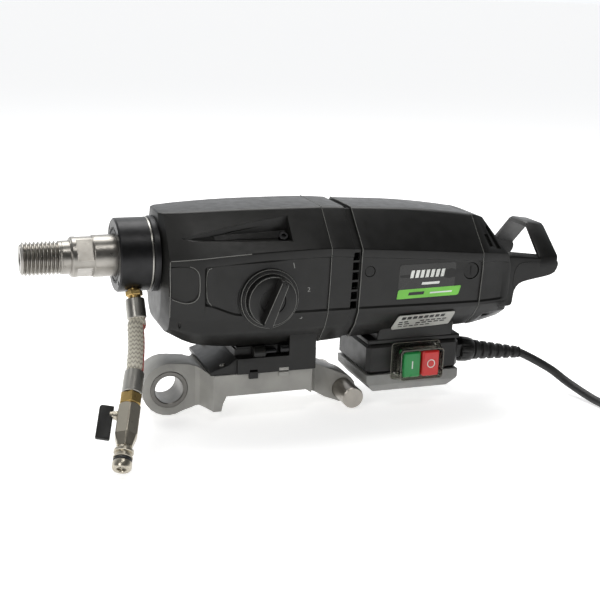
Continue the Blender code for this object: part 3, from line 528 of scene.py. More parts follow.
def curve_piece(name, places, radius, look, slot=None, body="machine", resolution=3):
    """A round cord or bead along places. The slot argument is not used."""
    slot = slot or look
    curve = bpy.data.curves.new(name, "CURVE")
    curve.dimensions = "3D"
    curve.bevel_depth = radius * MM
    curve.bevel_resolution = resolution
    curve.use_fill_caps = True
    curve.resolution_u = 1
    spline = curve.splines.new("POLY")
    spline.points.add(len(places) - 1)
    for knot, where in zip(spline.points, places):
        knot.co = (*point(*where), 1.0)
        knot.radius = 1.0
    curve.materials.append(LOOKS[look])
    piece = bpy.data.objects.new(name, curve)
    bpy.context.scene.collection.objects.link(piece)
    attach(piece, body)
    return piece


def relief_place(distance):
    """A place on the bend relief's axis."""
    return GLAND[0] + gland_axis * distance


def mains_cord():
    """The whole mains cord, from the bend relief to the plug."""
    start = [relief_place(RELIEF_LENGTH - 14), relief_place(RELIEF_LENGTH)]
    seen = smooth_route(start + CORD_ROUTE, 40)
    coil = coil_places()
    lead = [coil[-2], coil[-1], (COIL_CENTRE.x + 75.4, COIL_CENTRE.y + 24, TABLE + CORD_R),
            tuple(plug_rear - plug_axis * 14), tuple(plug_rear + plug_axis * 2)]
    places = seen[:-1] + coil[1:-1] + smooth_route(lead, 12)[1:]
    for where in places:
        where.z = max(where.z, TABLE + CORD_R)
    cord = curve_piece("cord_flex", places, CORD_R, "rubber")
    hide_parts("mains_cord", "cord_coil", "plug_lead")
    return cord, places


cord, cord_places = mains_cord()


def plug():
    """A moulded two-pin plug with grip ridges."""
    body = [(0, 0), (0, NECK_R - 0.6), (0.8, NECK_R)]
    for i in range(4):
        at = 2.5 + 3.4 * i
        body += [(at, NECK_R + 0.4 * i), (at + 0.5, NECK_R - 1.1 + 0.4 * i),
                 (at + 1.7, NECK_R - 1.1 + 0.4 * i), (at + 2.2, NECK_R + 0.4 * i)]
    body += [(17, 9.0), (22, 10.8), (28, 12.4), (36, 14.6), (46, 17.2), (50.8, 18.6),
             (PLUG_LENGTH, 17.8), (PLUG_LENGTH, 0)]
    bm = turned(plug_rear, plug_axis, body, 48)
    pieces = [keep("plug_body", bm, "rubber", replaces=("mains_plug",))]
    for number, side in enumerate((-9.5, 9.5)):
        foot = plug_rear + Vector((side, 0, 0)) + plug_axis * (PLUG_LENGTH - 2)
        pin = turned(foot, plug_axis, [(0, 0), (0, 2.4), (19.2, 2.4), (20.4, 1.7), (20.8, 0)], 24)
        pieces.append(keep(f"plug_pin_{number}", pin, "nickel", "rubber"))
    return pieces


def bend_relief():
    """The tapered, ribbed sleeve where the cord leaves the switch box."""
    profile = [(26.4, 0), (26.4, 8.0), (27.0, 8.6)]
    for i in range(6):
        at = 27 + i * 9.2
        radius = 10.5 - 0.75 * i
        profile += [(at + 0.3, radius - 0.5), (at + 0.8, radius), (at + 5.0, radius - 0.3),
                    (at + 5.5, radius - 0.8), (at + 5.9, radius - 3), (at + 8.9, radius - 3.1)]
    profile += [(RELIEF_LENGTH - 0.8, 6.0), (RELIEF_LENGTH, 5.3), (RELIEF_LENGTH, 0)]
    bm = turned(GLAND[0], gland_axis, profile, 40)
    return keep("bend_sleeve", bm, "rubber", replaces=("bend_relief",))


plug_pieces = plug()
sleeve = bend_relief()


# ---------------------------------------------------------------- water hose

HOSE_STATION = 102.5
HOSE_TILT = math.radians(30)
HOSE_R = 8.0
HOSE_ROUTE = [(100.2, -37.0, -60.0), (97.4, -53.0, -73.0)]
HOSE_END = Vector((90.3, -78.0, -91.4))
NOZZLE_END = Vector((63.3, -151.0, -153.6))
STEM_REACH = 47.0
FERRULE_REACH = 44.3         # from the spindle's axis to the top ferrule
STRANDS = 14
BRAID_PITCH = 70.0
RED_YARN = 0.04              # where the tracer lies, as a share of a turn
hose_out = Vector((0, -math.sin(HOSE_TILT), -math.cos(HOSE_TILT)))
valve_axis = (NOZZLE_END - HOSE_END).normalized()
spindle_side = Vector((-1, 0, 0))
stem_axis = (spindle_side - valve_axis * spindle_side.dot(valve_axis)).normalized()


def collar_place(reach):
    """A place on the hose fitting's axis, at a distance from the spindle's axis."""
    return Vector((HOSE_STATION, 0, 0)) + hose_out * reach


def valve_place(distance):
    """A place on the valve's axis, at a distance from the hose's end."""
    return HOSE_END + valve_axis * distance


def hose_places():
    """The hose's middle line, from the fitting to the valve."""
    top = collar_place(FERRULE_REACH)
    start = top + hose_out * 19.6
    route = [top + hose_out * 2, top + hose_out * 11, start, start + hose_out * 6,
             *[Vector(p) for p in HOSE_ROUTE], valve_place(-6), HOSE_END, valve_place(11),
             valve_place(21)]
    return smooth_route(route, 40)


def braided_hose():
    """The hose as a tube whose surface is woven from two sets of yarns, one tracer red."""
    places = hose_places()
    total = length_of(places)
    around = 144
    steps = 300
    rows = smooth_route(places, steps)
    bm = bmesh.new()
    layer = bm.verts.layers.float_color.new("yarn")
    side = Vector((1, 0, 0))
    loops = []
    for i, centre in enumerate(rows):
        ahead = rows[min(i + 1, steps - 1)] - rows[max(i - 1, 0)]
        ahead.normalize()
        side = (side - ahead * side.dot(ahead)).normalized()
        other = ahead.cross(side)
        distance = total * i / (steps - 1)
        loop = []
        for j in range(around):
            turn = j / around
            right = turn * STRANDS + distance / BRAID_PITCH * STRANDS
            left = turn * STRANDS - distance / BRAID_PITCH * STRANDS
            over = math.sin(math.pi * (right + left)) > 0
            across = (right if over else left) % 1.0
            lift = math.sin(math.pi * across) ** 0.6
            radius = HOSE_R - 0.75 + 0.6 * lift
            # The colour darkens towards each strand's edges, where the strands meet: painted shade
            # between the yarns.
            shade = 0.25 + 0.75 * lift
            colour = (0.60 * shade, 0.565 * shade, 0.47 * shade)
            if abs((turn - RED_YARN + 0.5) % 1.0 - 0.5) < 0.045:
                colour = (0.42 * shade, 0.06 * shade, 0.045 * shade)
            angle = 2 * math.pi * turn
            where = centre + (side * math.cos(angle) + other * math.sin(angle)) * radius
            vert = bm.verts.new(point(*where))
            vert[layer] = (*colour, 1.0)
            loop.append(vert)
        loops.append(loop)
    skin(bm, loops)
    hose = keep("hose_braided", tidy(bm), "braid", smooth=80.0, replaces=("water_hose",))
    return hose, places


hose, hose_line = braided_hose()


def hose_fittings():
    """The crimped ferrules, the union nut, the ball valve and its plug-in end."""
    pieces = []

    def crimped(name, start, direction, length, node):
        profile = [(0, HOSE_R - 1.6), (0, 8.4), (0.6, 9.0), (length * 0.5, 9.2),
                   (length - 0.4, 9.2), (length, 8.8), (length, HOSE_R - 1.6)]
        bm = turned(start, direction, profile, 48, closed=True)
        pieces.append(keep(name, bm, "stainless", replaces=(node,)))

    crimped("ferrule_top_finish", collar_place(FERRULE_REACH), hose_out, 19, "hose_ferrule_top")
    crimped("ferrule_bottom_finish", valve_place(0.6), valve_axis, 23, "hose_ferrule_bottom")
    nut = turned(valve_place(24), valve_axis,
                 [(0, 0), (0, 8.9), (1.3, 10.6), (10.7, 10.6), (12, 8.9), (12, 0)], 6)
    chamfer = turned(valve_place(24), valve_axis,
                     [(0, 0), (0, 9.2), (1.1, 10.3), (10.9, 10.3), (12, 9.2), (12, 0)], 48)
    nut = combine(nut, [chamfer], "INTERSECT")
    pieces.append(keep("union_nut", nut, "brass", replaces=("hose_nut",)))
    body = turned(valve_place(36.3), valve_axis,
                  [(0, 0), (0, 11.2), (29.7, 11.2), (40.7, 7.5), (40.7, 0)], 6)
    shape = turned(valve_place(36.3), valve_axis,
                   [(0, 0), (0, 9.7), (1.4, 10.9), (29.0, 10.9), (33.4, 9.6), (40.7, 7.3),
                    (40.7, 0)], 48)
    body = combine(body, [shape], "INTERSECT")
    pieces.append(keep("valve_finish", body, "nickel", smooth=12.0, replaces=("valve_body",)))
    foot = valve_place(STEM_REACH)
    stem = turned(foot + stem_axis * 8, stem_axis,
                  [(0, 0), (0, 4.6), (2.2, 4.6), (2.6, 4.0), (5, 4.0), (5, 0)], 32)
    pieces.append(keep("valve_stem", stem, "nickel"))
    nozzle = turned(valve_place(0), valve_axis, [
        (77.1, 0), (77.1, 6.3), (77.9, 6.5), (79.6, 6.5), (80, 8.4), (80.4, 8.8), (82.6, 8.8),
        (83, 8.4), (83, 6.9), (86.4, 6.9), (86.5, 8.3), (86.9, 8.6), (87.7, 8.6), (88, 8.3),
        (88, 6.4), (91.5, 6.4), (91.6, 8.2), (92, 8.5), (97.2, 8.5), (98.5, 7.6), (98.5, 4.4),
        (97.8, 4.0), (90, 4), (90, 0)], 48)
    pieces.append(keep("nozzle_finish", nozzle, "nickel", replaces=("hose_nozzle",)))
    seal = turned(valve_place(89.8), valve_axis,
                  [(1.5 * math.sin(a), 7.0 + 1.4 * math.cos(a)) for a in full_turn(12)], 48,
                  closed=True)
    pieces.append(keep("nozzle_seal", seal, "rubber"))
    for number in range(2):
        spread = stem_axis if number == 0 else valve_axis.cross(stem_axis)
        vane = [valve_place(91.0) + spread * 3.9 * a + valve_axis.cross(spread) * 0.5 * b
                for a, b in ((-1, -1), (1, -1), (1, 1), (-1, 1))]
        ends = [[tuple(v) for v in vane], [tuple(v + valve_axis * 6.4) for v in vane]]
        pieces.append(keep(f"nozzle_vane_{number}", loft(ends), "nickel"))
    return pieces


def valve_lever():
    """The butterfly lever, waisted where it grips the stem."""
    foot = valve_place(STEM_REACH)
    across = valve_axis.cross(stem_axis)
    middle = foot + stem_axis * 19.8
    outline = [(-8.3, -6.3), (-4, -6.3), (4, -6.3), (25.3, -6.2), (25.3, 6.3), (24.0, 6.5),
               (-6.5, 6.5), (-8.3, 4.8)]
    rings = []
    for thick in (-2.3, 2.3):
        rings.append([tuple(middle + valve_axis * a + stem_axis * b + across * thick)
                      for a, b in outline])
    blade = rounded(loft(rings), 1.3, 4, 30)
    piece = keep("lever_finish", blade, "black_plastic", body="lever", replaces=("valve_lever",))
    hub = turned(foot + stem_axis * 13.2, stem_axis,
                 [(0, 0), (0, 3.6), (1.6, 3.6), (1.6, 3.0), (3.5, 3.0), (3.5, 0)], 32)
    keep("lever_hub", hub, "nickel", "black_plastic", "lever")
    return piece


fitting_pieces = hose_fittings()
lever = valve_lever()


# ---------------------------------------------------------------- body shells

GEARBOX_REAR = 284.0
MOTOR_FRONT = 315.5
MOTOR_REAR = 450.5

# Halves of the body's outline at a few stations: top edge, crease, side, hip, skirt, keel
BODY = {
    125.5: ((17, 43), (30, 6), (31, -26), (29, -44), (25, -56), (16, -64)),
    130.0: ((22, 43.5), (50, 3), (51, -25), (48, -52), (42, -64), (27, -71)),
    155.0: ((27, 44.5), (56, 5), (57, -24), (54, -54), (48, -69), (34, -83)),
    205.0: ((30, 46), (61, 9), (61, -22.5), (58, -54.5), (51, -70), (35, -89)),
    GEARBOX_REAR: ((30, 46), (63.5, 11.6), (62, -22), (58.7, -54.7), (51.6, -69.8), (35, -90)),
    MOTOR_FRONT: ((28, 44.2), (63, 9.4), (61.6, -22), (58.5, -55), (51, -70), (35, -88)),
    386.0: ((28, 40), (61.5, 4), (60.6, -21), (57.6, -56), (46.4, -70.3), (33, -86)),
    MOTOR_REAR: ((26.4, 31.6), (58.5, -2), (59, -20), (55.4, -57), (46.6, -69), (31, -84)),
    470.0: ((24, 26), (54.5, -4.5), (55, -21), (52.5, -57), (46.5, -68), (30, -81)),
    492.0: ((20.5, 20), (49.6, -7), (50, -22), (48, -57), (43, -67), (27, -77)), }
SIDES = ((-1, "near"), (1, "far"))
NOSE_SHOULDER = 130.0
SCREW_PLUG = (326.0, -14.3)
BRUSH = (438.0, MOTOR_AXIS)
WALL = 4.0
PANEL_DEPTH = 1.5
BAND = 8.0
KNOB = (223.5, -35.0)
KNOB_FACE = -83.65
GRIP_LEAN = math.radians(22)
SEAM = 0.25
HANDLE_END = 545.0


def half_outline(station):
    """The half outline at any station: straight up to the nose's shoulder, smooth behind it."""
    stations = sorted(BODY)
    index = max(i for i, s in enumerate(stations[:-1]) if s <= station + 1e-6)
    a, b = stations[index], stations[index + 1]
    t = (station - a) / (b - a)
    if b <= NOSE_SHOULDER:
        return [tuple(p + (q - p) * t for p, q in zip(m, n)) for m, n in zip(BODY[a], BODY[b])]

    def slope(i, corner, axis):
        low = stations[max(1, i - 1)]
        high = stations[min(len(stations) - 1, i + 1)]
        return (BODY[high][corner][axis] - BODY[low][corner][axis]) / (high - low)

    outline = []
    for corner in range(6):
        spot = []
        for axis in range(2):
            p, q = BODY[a][corner][axis], BODY[b][corner][axis]
            m = slope(index, corner, axis) * (b - a)
            n = slope(index + 1, corner, axis) * (b - a)
            spot.append((2 * t ** 3 - 3 * t ** 2 + 1) * p + (t ** 3 - 2 * t ** 2 + t) * m
                        + (3 * t ** 2 - 2 * t ** 3) * q + (t ** 3 - t ** 2) * n)
        outline.append(tuple(spot))
    return outline


def side_at(station, height):
    """How far out the body's side is at a station and height, without the sunk panel."""
    outline = half_outline(station)
    for (y1, z1), (y2, z2) in zip(outline[1:], outline[2:]):
        if z2 <= height <= z1:
            return y1 + (y2 - y1) * (height - z1) / (z2 - z1)
    return outline[1][0]


def panel_sink(station):
    """How deep the sides' long panel lies: it starts in a flute behind the nose."""
    start = (PANEL_DEPTH + 1.6) * eased(station, 161.0, 164.0)
    start -= 1.6 * eased(station, 164.0, 171.0)
    return start * (1 - eased(station, 478, 484))


def body_ring(station, inset=0.0):
    """The whole outline at a station, with the sunk side panel or moved inwards by inset."""
    top, crease, side, hip, skirt, keel = half_outline(station)
    half = [top, crease]
    sink = 0.0 if inset else panel_sink(station)
    band = crease[1] - BAND
    low = hip[1] + 5.0 + 11.0 * (1 - eased(station, 160.0, 198.0))
    for height, depth in ((band, 0.0), (band - 1.4, sink), (side[1], sink), (low, sink),
                          (low - 2.0, 0.0)):
        half.append((side_at(station, height) - depth, height))
    half += [hip, skirt, keel]
    ring = []
    for y, z in half:
        share = 1 - inset * 1.12 / math.hypot(y, z - MOTOR_AXIS)
        ring.append((station, y * share, MOTOR_AXIS + (z - MOTOR_AXIS) * share))
    return ring + [(s, -y, z) for s, y, z in reversed(ring)]


CORNERS = 10                 # points of a half ring
EDGE_WIDTH = 3.0
CORNER_ROUNDING = {0: 1.0, 1: 0.32, 2: 0.25, 3: 0.25, 7: 1.0, 8: 0.9, 9: 1.0}


def shell_solid(stations, rims):
    """The solid body between stations, its long edges rounded and its end rims chamfered."""
    bm = bmesh.new()
    weight = bm.edges.layers.float.new("bevel_weight_edge")
    loops = add_rings(bm, [body_ring(s) for s in stations])
    skin(bm, loops)
    count = len(loops[0])
    for here, there in zip(loops, loops[1:]):
        for j in range(count):
            corner = j if j < CORNERS else count - 1 - j
            bm.edges.get((here[j], there[j]))[weight] = CORNER_ROUNDING.get(corner, 0.0)
    for loop, share in zip((loops[0], loops[-1]), rims):
        for j in range(count):
            bm.edges.get((loop[j], loop[(j + 1) % count]))[weight] = share
    holder = scratch(tidy(bm))
    step = holder.modifiers.new("Round", "BEVEL")
    step.width = EDGE_WIDTH * MM
    step.segments = 4
    step.limit_method = "WEIGHT"
    step.use_clamp_overlap = True
    return bmesh_of(taken(holder))


def slant(station, share, lift, side):
    """A place on the upper slanted face: share runs from the top edge to the crease,
    lift stands off the face, and side is -1 near or 1 far."""
    (y1, z1), (y2, z2) = half_outline(station)[:2]
    length = math.hypot(y2 - y1, z2 - z1)
    out_y, out_z = (z1 - z2) / length, (y2 - y1) / length
    return (station, side * (y1 + (y2 - y1) * share + out_y * lift),
            z1 + (z2 - z1) * share + out_z * lift)


def on_side(outline, lift, side):
    """An outline of (station, height) laid on the body's side, standing off it by lift."""
    return [(s, side * (side_at(s, z) - panel_sink(s) + lift), z) for s, z in outline]


def soft_corners(low, high, radius, steps=5):
    """A rectangle's outline with round corners."""
    (a, b), (c, d) = low, high
    outline = []
    for cx, cy, start in ((c - radius, d - radius, 0), (a + radius, d - radius, 90),
                          (a + radius, b + radius, 180), (c - radius, b + radius, 270)):
        for i in range(steps + 1):
            t = math.radians(start + 90 * i / steps)
            outline.append((cx + radius * math.cos(t), cy + radius * math.sin(t)))
    return outline


def side_patch(outline, low, high):
    """A thin layer on the body's near side between two lifts."""
    return loft([on_side(outline, low, -1), on_side(outline, high, -1)])


def gearbox():
    """The gearbox housing: front wall, side panels, upper scoops, nose panels and seat."""
    stations = [125.5, 127.8, 130.0, 137, 146, 155, 159.5, 161, 162, 163, 164, 165.5, 168, 171,
                175, 180, 186, 192, 198, 205, 225, 245, 265, GEARBOX_REAR]
    solid = shell_solid(stations, (0.5, 0.25))
    hollow = loft([body_ring(s, WALL) for s in (146.5, 160, 180, 205, 245, 286)])
    boss = rod((KNOB[0], -50, KNOB[1]), (KNOB[0], -59.7, KNOB[1]), 30.5, 64)
    solid = combine(solid, [hollow])
    solid = combine(solid, [boss], "UNION")
    cutters = [rod((112, 0, 0), (150, 0, 0), 21.6, 64),
               rod((KNOB[0], -59.7, KNOB[1]), (KNOB[0], -80, KNOB[1]), 29.3, 96),
               rod((KNOB[0], -40, KNOB[1]), (KNOB[0], -70, KNOB[1]), 8.3, 48)]
    panel = [(129.2, -2.0), (140.0, -1.4), (147.5, -1.7), (151.5, -3.2), (154.8, -6.6),
             (156.4, -11.4), (156.6, -20.0), (156.2, -27.5), (154.4, -32.6), (150.6, -35.6),
             (146.0, -36.8), (141.5, -36.6), (133.0, -33.6), (129.4, -31.3)]
    for side in (-1, 1):
        backing = [(141, 0.48, -3), (250, 0.12, -3), (250, 0.87, -3), (150, 0.7, -3)]
        depths = [-6, -15, -15, -7]
        behind = [(s, share, depth) for (s, share, _), depth in zip(backing, depths)]
        solid = combine(solid, [loft([[slant(*p, side) for p in backing],
                                      [slant(*p, side) for p in behind]])], "UNION")
        mouth = [(143.1, 0.553, 0.0), (178, 0.42, 0), (215, 0.29, 0), (247.2, 0.19, 0.0),
                 (247.0, 0.79, 0.0), (200, 0.72, 0), (152.9, 0.625, 0.0)]
        lifted = [(s, share, 3.0) for s, share, _ in mouth]
        floor = [(146, 0.565, -0.5), (180, 0.49, -5.0), (215, 0.44, -8.6), (245.5, 0.40, -10.5),
                 (245.5, 0.56, -11.5), (200, 0.58, -7.5), (158, 0.60, -1.6)]
        lip = [(s, share, -0.4) for s, share, _ in mouth]
        cutters.append(loft([[slant(*p, side) for p in lifted], [slant(*p, side) for p in lip],
                             [slant(*p, side) for p in floor]]))
        inner = [(141.2 + (s - 141.2) * 0.92, -18.2 + (z + 18.2) * 0.92) for s, z in panel]
        cutters.append(loft([on_side(panel, 3.0, side), on_side(panel, -0.2, side),
                             on_side(inner, -1.7, side)]))
        cutters.append(chin_mark(side))
    solid = combine(solid, cutters)
    keep("gearbox_shell", tidy(solid), "black_cast", smooth=32.0, replaces=("gearbox_housing",))
    for side, word in SIDES:
        head = Vector(slant(240.6, 0.62, -9.6, side))
        out = (Vector(slant(240.3, 0.6, 0, side)) - head).normalized()
        keep(f"scoop_screw_{word}", socket_screw(head, out, 4.6, 6.6), "black_satin", "black_cast")
        # Thin pale beads along the panel rim, the flute, the nose ridge and the crease: painted
        # highlights on these edges.
        rim = on_side(panel, 0.05, side)
        lines = {"panel_rim": rim[2:],
                 "flute": on_side([(168.2, -3.6), (165.2, -5.6), (163.6, -10.5), (163.2, -19),
                                   (163.6, -28.5), (165.3, -35.6), (168.6, -40.6)], 0.1, side),
                 "nose_ridge": [(130.0, side * (side_at(130, z) + 0.05), z)
                                for z in (2.4, -8, -18, -30, -42, -51)],
                 "crease": [(s, side * (half_outline(s)[1][0] - 0.15), half_outline(s)[1][1])
                            for s in (131, 145, 160, 180, 205)]}
        for name, line in lines.items():
            curve_piece(f"{name}_{word}", smooth_route(line, 40), 0.4, "painted_highlight", "black_cast",
                        resolution=2)


def chin_mark(side):
    """A short moulded dent low on the nose."""
    middle = Vector((139.3, side * 47.6, -58.6))
    out = Vector((0, side * 0.83, -0.55)).normalized()
    lengthways = Vector((0.12, side * -0.4, -0.9))
    lengthways = (lengthways - out * lengthways.dot(out)).normalized()
    across = out.cross(lengthways)
    rings = []
    for lift, share in ((2.5, 1.0), (-0.1, 1.0), (-0.8, 0.45)):
        rings.append([tuple(middle + out * lift + (lengthways * 4.6 * math.cos(t)
                                                   + across * 1.5 * math.sin(t)) * share)
                      for t in full_turn(20)])
    return loft(rings)


def socket_screw(foot, out, radius, height, socket=True):
    """A cap screw's head: chamfered, with a hexagon socket."""
    head = turned(foot, out, [(0, 0), (0, radius), (height - 0.5, radius), (height, radius - 0.5),
                              (height, 0)], 32)
    if not socket:
        return head
    hole = turned(foot + out * (height - 2.4), out, [(0, 0), (0, radius * 0.52),
                                                     (4, radius * 0.52), (4, 0)], 6)
    return combine(head, [hole])


def vent_ring():
    """The ring with the air slots between gearbox and motor."""
    front = GEARBOX_REAR + SEAM
    solid = shell_solid([front, 294, 308.3], (0.25, 0.2))
    collar = loft([[(s, y, z) for s, y, z in body_ring(s, 2.2)] for s in (300, 315.4)])
    solid = combine(solid, [collar], "UNION")
    cutters = [loft([body_ring(s, 5.5) for s in (282, 318)])]
    for i in range(6):
        top = 5.6 - 9.9 * i
        cutters.append(block((307.4, -75, top - 7.9), (314.4, 75, top)))
    cutters.append(block((308.9, -24, 34), (314.2, 24, 60)))
    solid = combine(solid, cutters)
    keep("vent_shell", tidy(solid), "black_cast", smooth=32.0, replaces=("vent_housing",))


def motor_shell():
    """The motor housing with its neck, screw plugs and brush caps."""
    stations = [MOTOR_FRONT + SEAM, 325, 340, 355, 370, 386, 400, 415, 430, 440, 450.2]
    solid = shell_solid(stations, (0.3, 0.25))
    neck = rounded(slab([(350.5, -76), (345.4, -96), (432, -96), (432, -76)], -39, 39), 2.0, 3)
    hollow = loft([body_ring(s, WALL) for s in (310, 350, 386, 420, 455)])
    cutters = [hollow, block((365, -24, -100), (415, 24, -70))]
    for side in (-1, 1):
        for (station, height), radius in ((SCREW_PLUG, 5.6), (BRUSH, 8.8)):
            cutters.append(rod((station, side * 45, height), (station, side * 70, height),
                               radius, 48))
    solid = combine(combine(solid, [neck], "UNION"), cutters)
    keep("motor_shell", tidy(solid), "black_plastic", smooth=32.0, replaces=("motor_housing",))
    for side, word in SIDES:
        out = (0, side, 0)
        plug_side = side * (side_at(*SCREW_PLUG) - PANEL_DEPTH)
        cap = turned((SCREW_PLUG[0], plug_side - side * 6, SCREW_PLUG[1]), out,
                     [(0, 0), (0, 5.3), (5.0, 5.3), (5.5, 4.9), (5.5, 0)], 40)
        keep(f"screw_plug_{word}", cap, "black_plastic")
        end = side * 56.6
        brush_cap = turned((BRUSH[0], side * 20, BRUSH[1]), out, [
            (0, 6.0), (0, 8.5), (36.0, 8.5), (36.6, 7.9), (36.6, 0), (36.0, 0), (36.0, 6.0)],
            48, closed=True)
        slot = block((BRUSH[0] - 0.6, min(end, end - side), BRUSH[1] - 5),
                     (BRUSH[0] + 0.6, max(end, end - side), BRUSH[1] + 5))
        keep(f"brush_cap_{word}", combine(brush_cap, [slot]), "black_plastic",
             replaces=(f"brush_holder_{word}",))


def cap_shell():
    """The rear cap: leaning back, air slots, latch recesses, handle arms and arch."""
    solid = loft([body_ring(s) for s in (MOTOR_REAR, 456, 462, 470, 478, 484, 492.0)])
    behind = slab([(487.5, -110), (487.5, -20), (484, -8), (461, 33), (440, 70), (530, 70),
                   (530, -110)], -90, 90)
    solid = combine(solid, [behind])
    hollow = loft([body_ring(s, WALL) for s in (444.0, 456, 470.0, 492.0)])
    hollow_back = slab([(430, -110), (483.5, -110), (483.5, -21), (480.3, -10.5),
                        (457.3, 30.5), (430, 79)], -90, 90)
    hollow = combine(hollow, [hollow_back], "INTERSECT")
    solid = combine(solid, [hollow])
    cutters = []
    for side in (-1, 1):
        for slot, depth in ((((463.5, 0.30), (466.5, 0.22), (475.5, 0.86), (470, 0.86)), 2.4),
                            (((458.4, 0.50), (463.2, 0.47), (465.6, 0.80), (461.0, 0.83)), 2.2)):
            cutters.append(loft([[slant(s, share, lift, side) for s, share in slot]
                                 for lift in (3, -depth)]))
        tip = soft_corners((462, -75.5), (484, -70), 1.5)
        cutters.append(loft([[(s, side * (47.4 + (z + 70) + lift), z - lift) for s, z in tip]
                             for lift in (4, -2.5)]))
    solid = combine(solid, cutters)
    keep("cap_shell", tidy(rounded(solid, 0.9, 3, 24)), "black_plastic", smooth=32.0,
         replaces=("rear_cap",))
    handle()


def handle():
    """The two arms behind the cap and the wedge-shaped arch that joins them."""
    under = [(HANDLE_END, -20.3), (543.8, -25.0), (541.2, -29.2), (537.0, -31.4), (531.7, -32.7),
             (525.2, -33.8), (510.8, -36.0), (503.5, -37.6), (499.5, -39.6), (496.6, -42.6),
             (494.6, -46.5), (493.9, -51.5), (493.2, -58.4), (492.4, -61.2), (489.0, -62.4),
             (476, -62.8)]
    inner_top = [(470, -7), (484, -5.4), (492.6, -5.9), (520.0, -9.4), (536, -12.5), (542.5, -14.5)]
    outer_top = [(470, -10.2), (484, -9.6), (492.6, -10.2), (520, -12.9), (536, -15.0),
                 (543.4, -16.8)]
    for side, word in SIDES:
        arm = loft([[(s, side * y, z) for s, z in top + under]
                    for y, top in ((42.6, inner_top), (49.5, outer_top))])
        keep(f"handle_arm_{word}", rounded(arm, 1.2, 3, 25), "black_plastic", smooth=30.0)
        y = side * 49.5
        line = [(540.5, y, -20.6), (530, y, -18.6), (515, y, -16.9), (505, y, -16.6),
                (499.5, y, -17.6), (495.4, y, -21.0), (493.2, y, -27.0), (492.4, y, -35.0),
                (492.8, y, -40.5), (495.4, y, -44.0)]
        curve_piece(f"arm_rib_{word}", smooth_route(line, 40), 0.4, "black_plastic", resolution=2)
    rings = []
    for station, top, opening_top, foot in ((521.2, 18.8, 13.8, -10), (523.4, 19.0, 13.4, -10.6),
                                            (541.0, 16.6, 8.0, -15.5), (542.9, 15.4, 7.2, -16.0)):
        edge = 0.8 if station in (521.2, 542.9) else 0.0
        outside = [(49.8 - edge, -23), (49.8 - edge, -12.6), (48.9 - edge, -11.0),
                   (17.6, top - edge - 1.3), (15.0, top - edge)]
        inside = [(42.2, -23), (42.2, foot), (18.0, opening_top - 1.0), (15.4, opening_top)]
        ring = outside + [(-y, z) for y, z in reversed(outside)]
        ring += [(-y, z) for y, z in inside] + list(reversed(inside))
        rings.append([(station, y, z) for y, z in ring])
    keep("handle_arch", loft(rings), "black_plastic", smooth=28.0)


def seam_bands():
    """Pale strips where the housings meet: a painted highlight on the seams' rounded rims."""
    for number, (station, width) in enumerate(((GEARBOX_REAR, 0.4), (315.9, 0.55), (450.35, 0.45))):
        rings = [body_ring(station, -0.12), body_ring(station + width, -0.12),
                 body_ring(station + width, 0.8), body_ring(station, 0.8)]
        keep(f"seam_band_{number}", loft(rings, closed=True), "painted_highlight", "black_plastic")


gearbox()
seam_bands()
vent_ring()
motor_shell()
cap_shell()


# ---------------------------------------------------------------- nose and spindle

THREAD_R = 15.875
THREAD_PITCH = 25.4 / 7
THREAD_END = 36.0
COLLAR_SCREW_CIRCLE = 31.2


def threaded_spindle():
    """The spindle's outside as one turned skin whose thread is a true right-hand helix."""
    around = full_turn(96)
    stations = [0.0]
    at = 0.0
    while at < THREAD_END + 1.5:
        at += 0.3
        stations.append(at)
    shape = [(37.6, THREAD_R - 0.4), (38.2, THREAD_R), (45.4, THREAD_R), (46.3, 18.6),
             (47.2, 19.3), (66.2, 19.3), (66.9, 19.0), (67.0, 19.6), (67.4, 20.0), (121, 20.0),
             (121, 15), (180, 15), (180, 12.5), (261.5, 12.5)]
    bm = bmesh.new()
    loops = []

    def loop_at(station, radius_of):
        loops.append([bm.verts.new(point(station, radius_of(t) * math.cos(t),
                                         radius_of(t) * math.sin(t))) for t in around])

    for station, radius in ((10.0, 6.0), (0.6, 6.0), (0.0, 6.6)):
        loop_at(station, lambda t, r=radius: r)
    for station in stations:
        start = eased(station, 0.0, 2.2)
        end = 1 - eased(station, THREAD_END - 1.5, THREAD_END + 1.0)
        depth = 2.3 * max(0.0, end)

        def radius_of(t, station=station, start=start, depth=depth):
            phase = (station / THREAD_PITCH + t / (2 * math.pi)) % 1.0
            valley = 1 - min(1.0, abs(phase - 0.5) / 0.40)
            root = THREAD_R - depth * min(1.0, valley * 1.15)
            return min(root, THREAD_R - 2.6 + 2.6 * start)

        loop_at(station, radius_of)
    for station, radius in shape:
        loop_at(station, lambda t, r=radius: r)
    skin(bm, loops)
    solid = tidy(bm)
    flats = combine(rod((50.5, 0, 0), (66.0, 0, 0), 30, 48),
                    [rod((49, 0, 0), (68, 0, 0), 16 * math.sqrt(2), 4, roll=math.radians(11))])
    solid = combine(solid, [flats, rod((2, 0, 0), (-4, 0, 0), 6.0, 48)])
    keep("spindle_finish", solid, "steel", body="spindle_set", smooth=30.0, replaces=("spindle",))
    for number, (station, radius) in enumerate(((45.9, 17.4), (66.9, 19.4))):
        seal = turned((station, 0, 0), (1, 0, 0), bead(0, radius, 0.5, 10), 64, closed=True)
        keep(f"spindle_ring_{number}", seal, "steel", body="spindle_set")


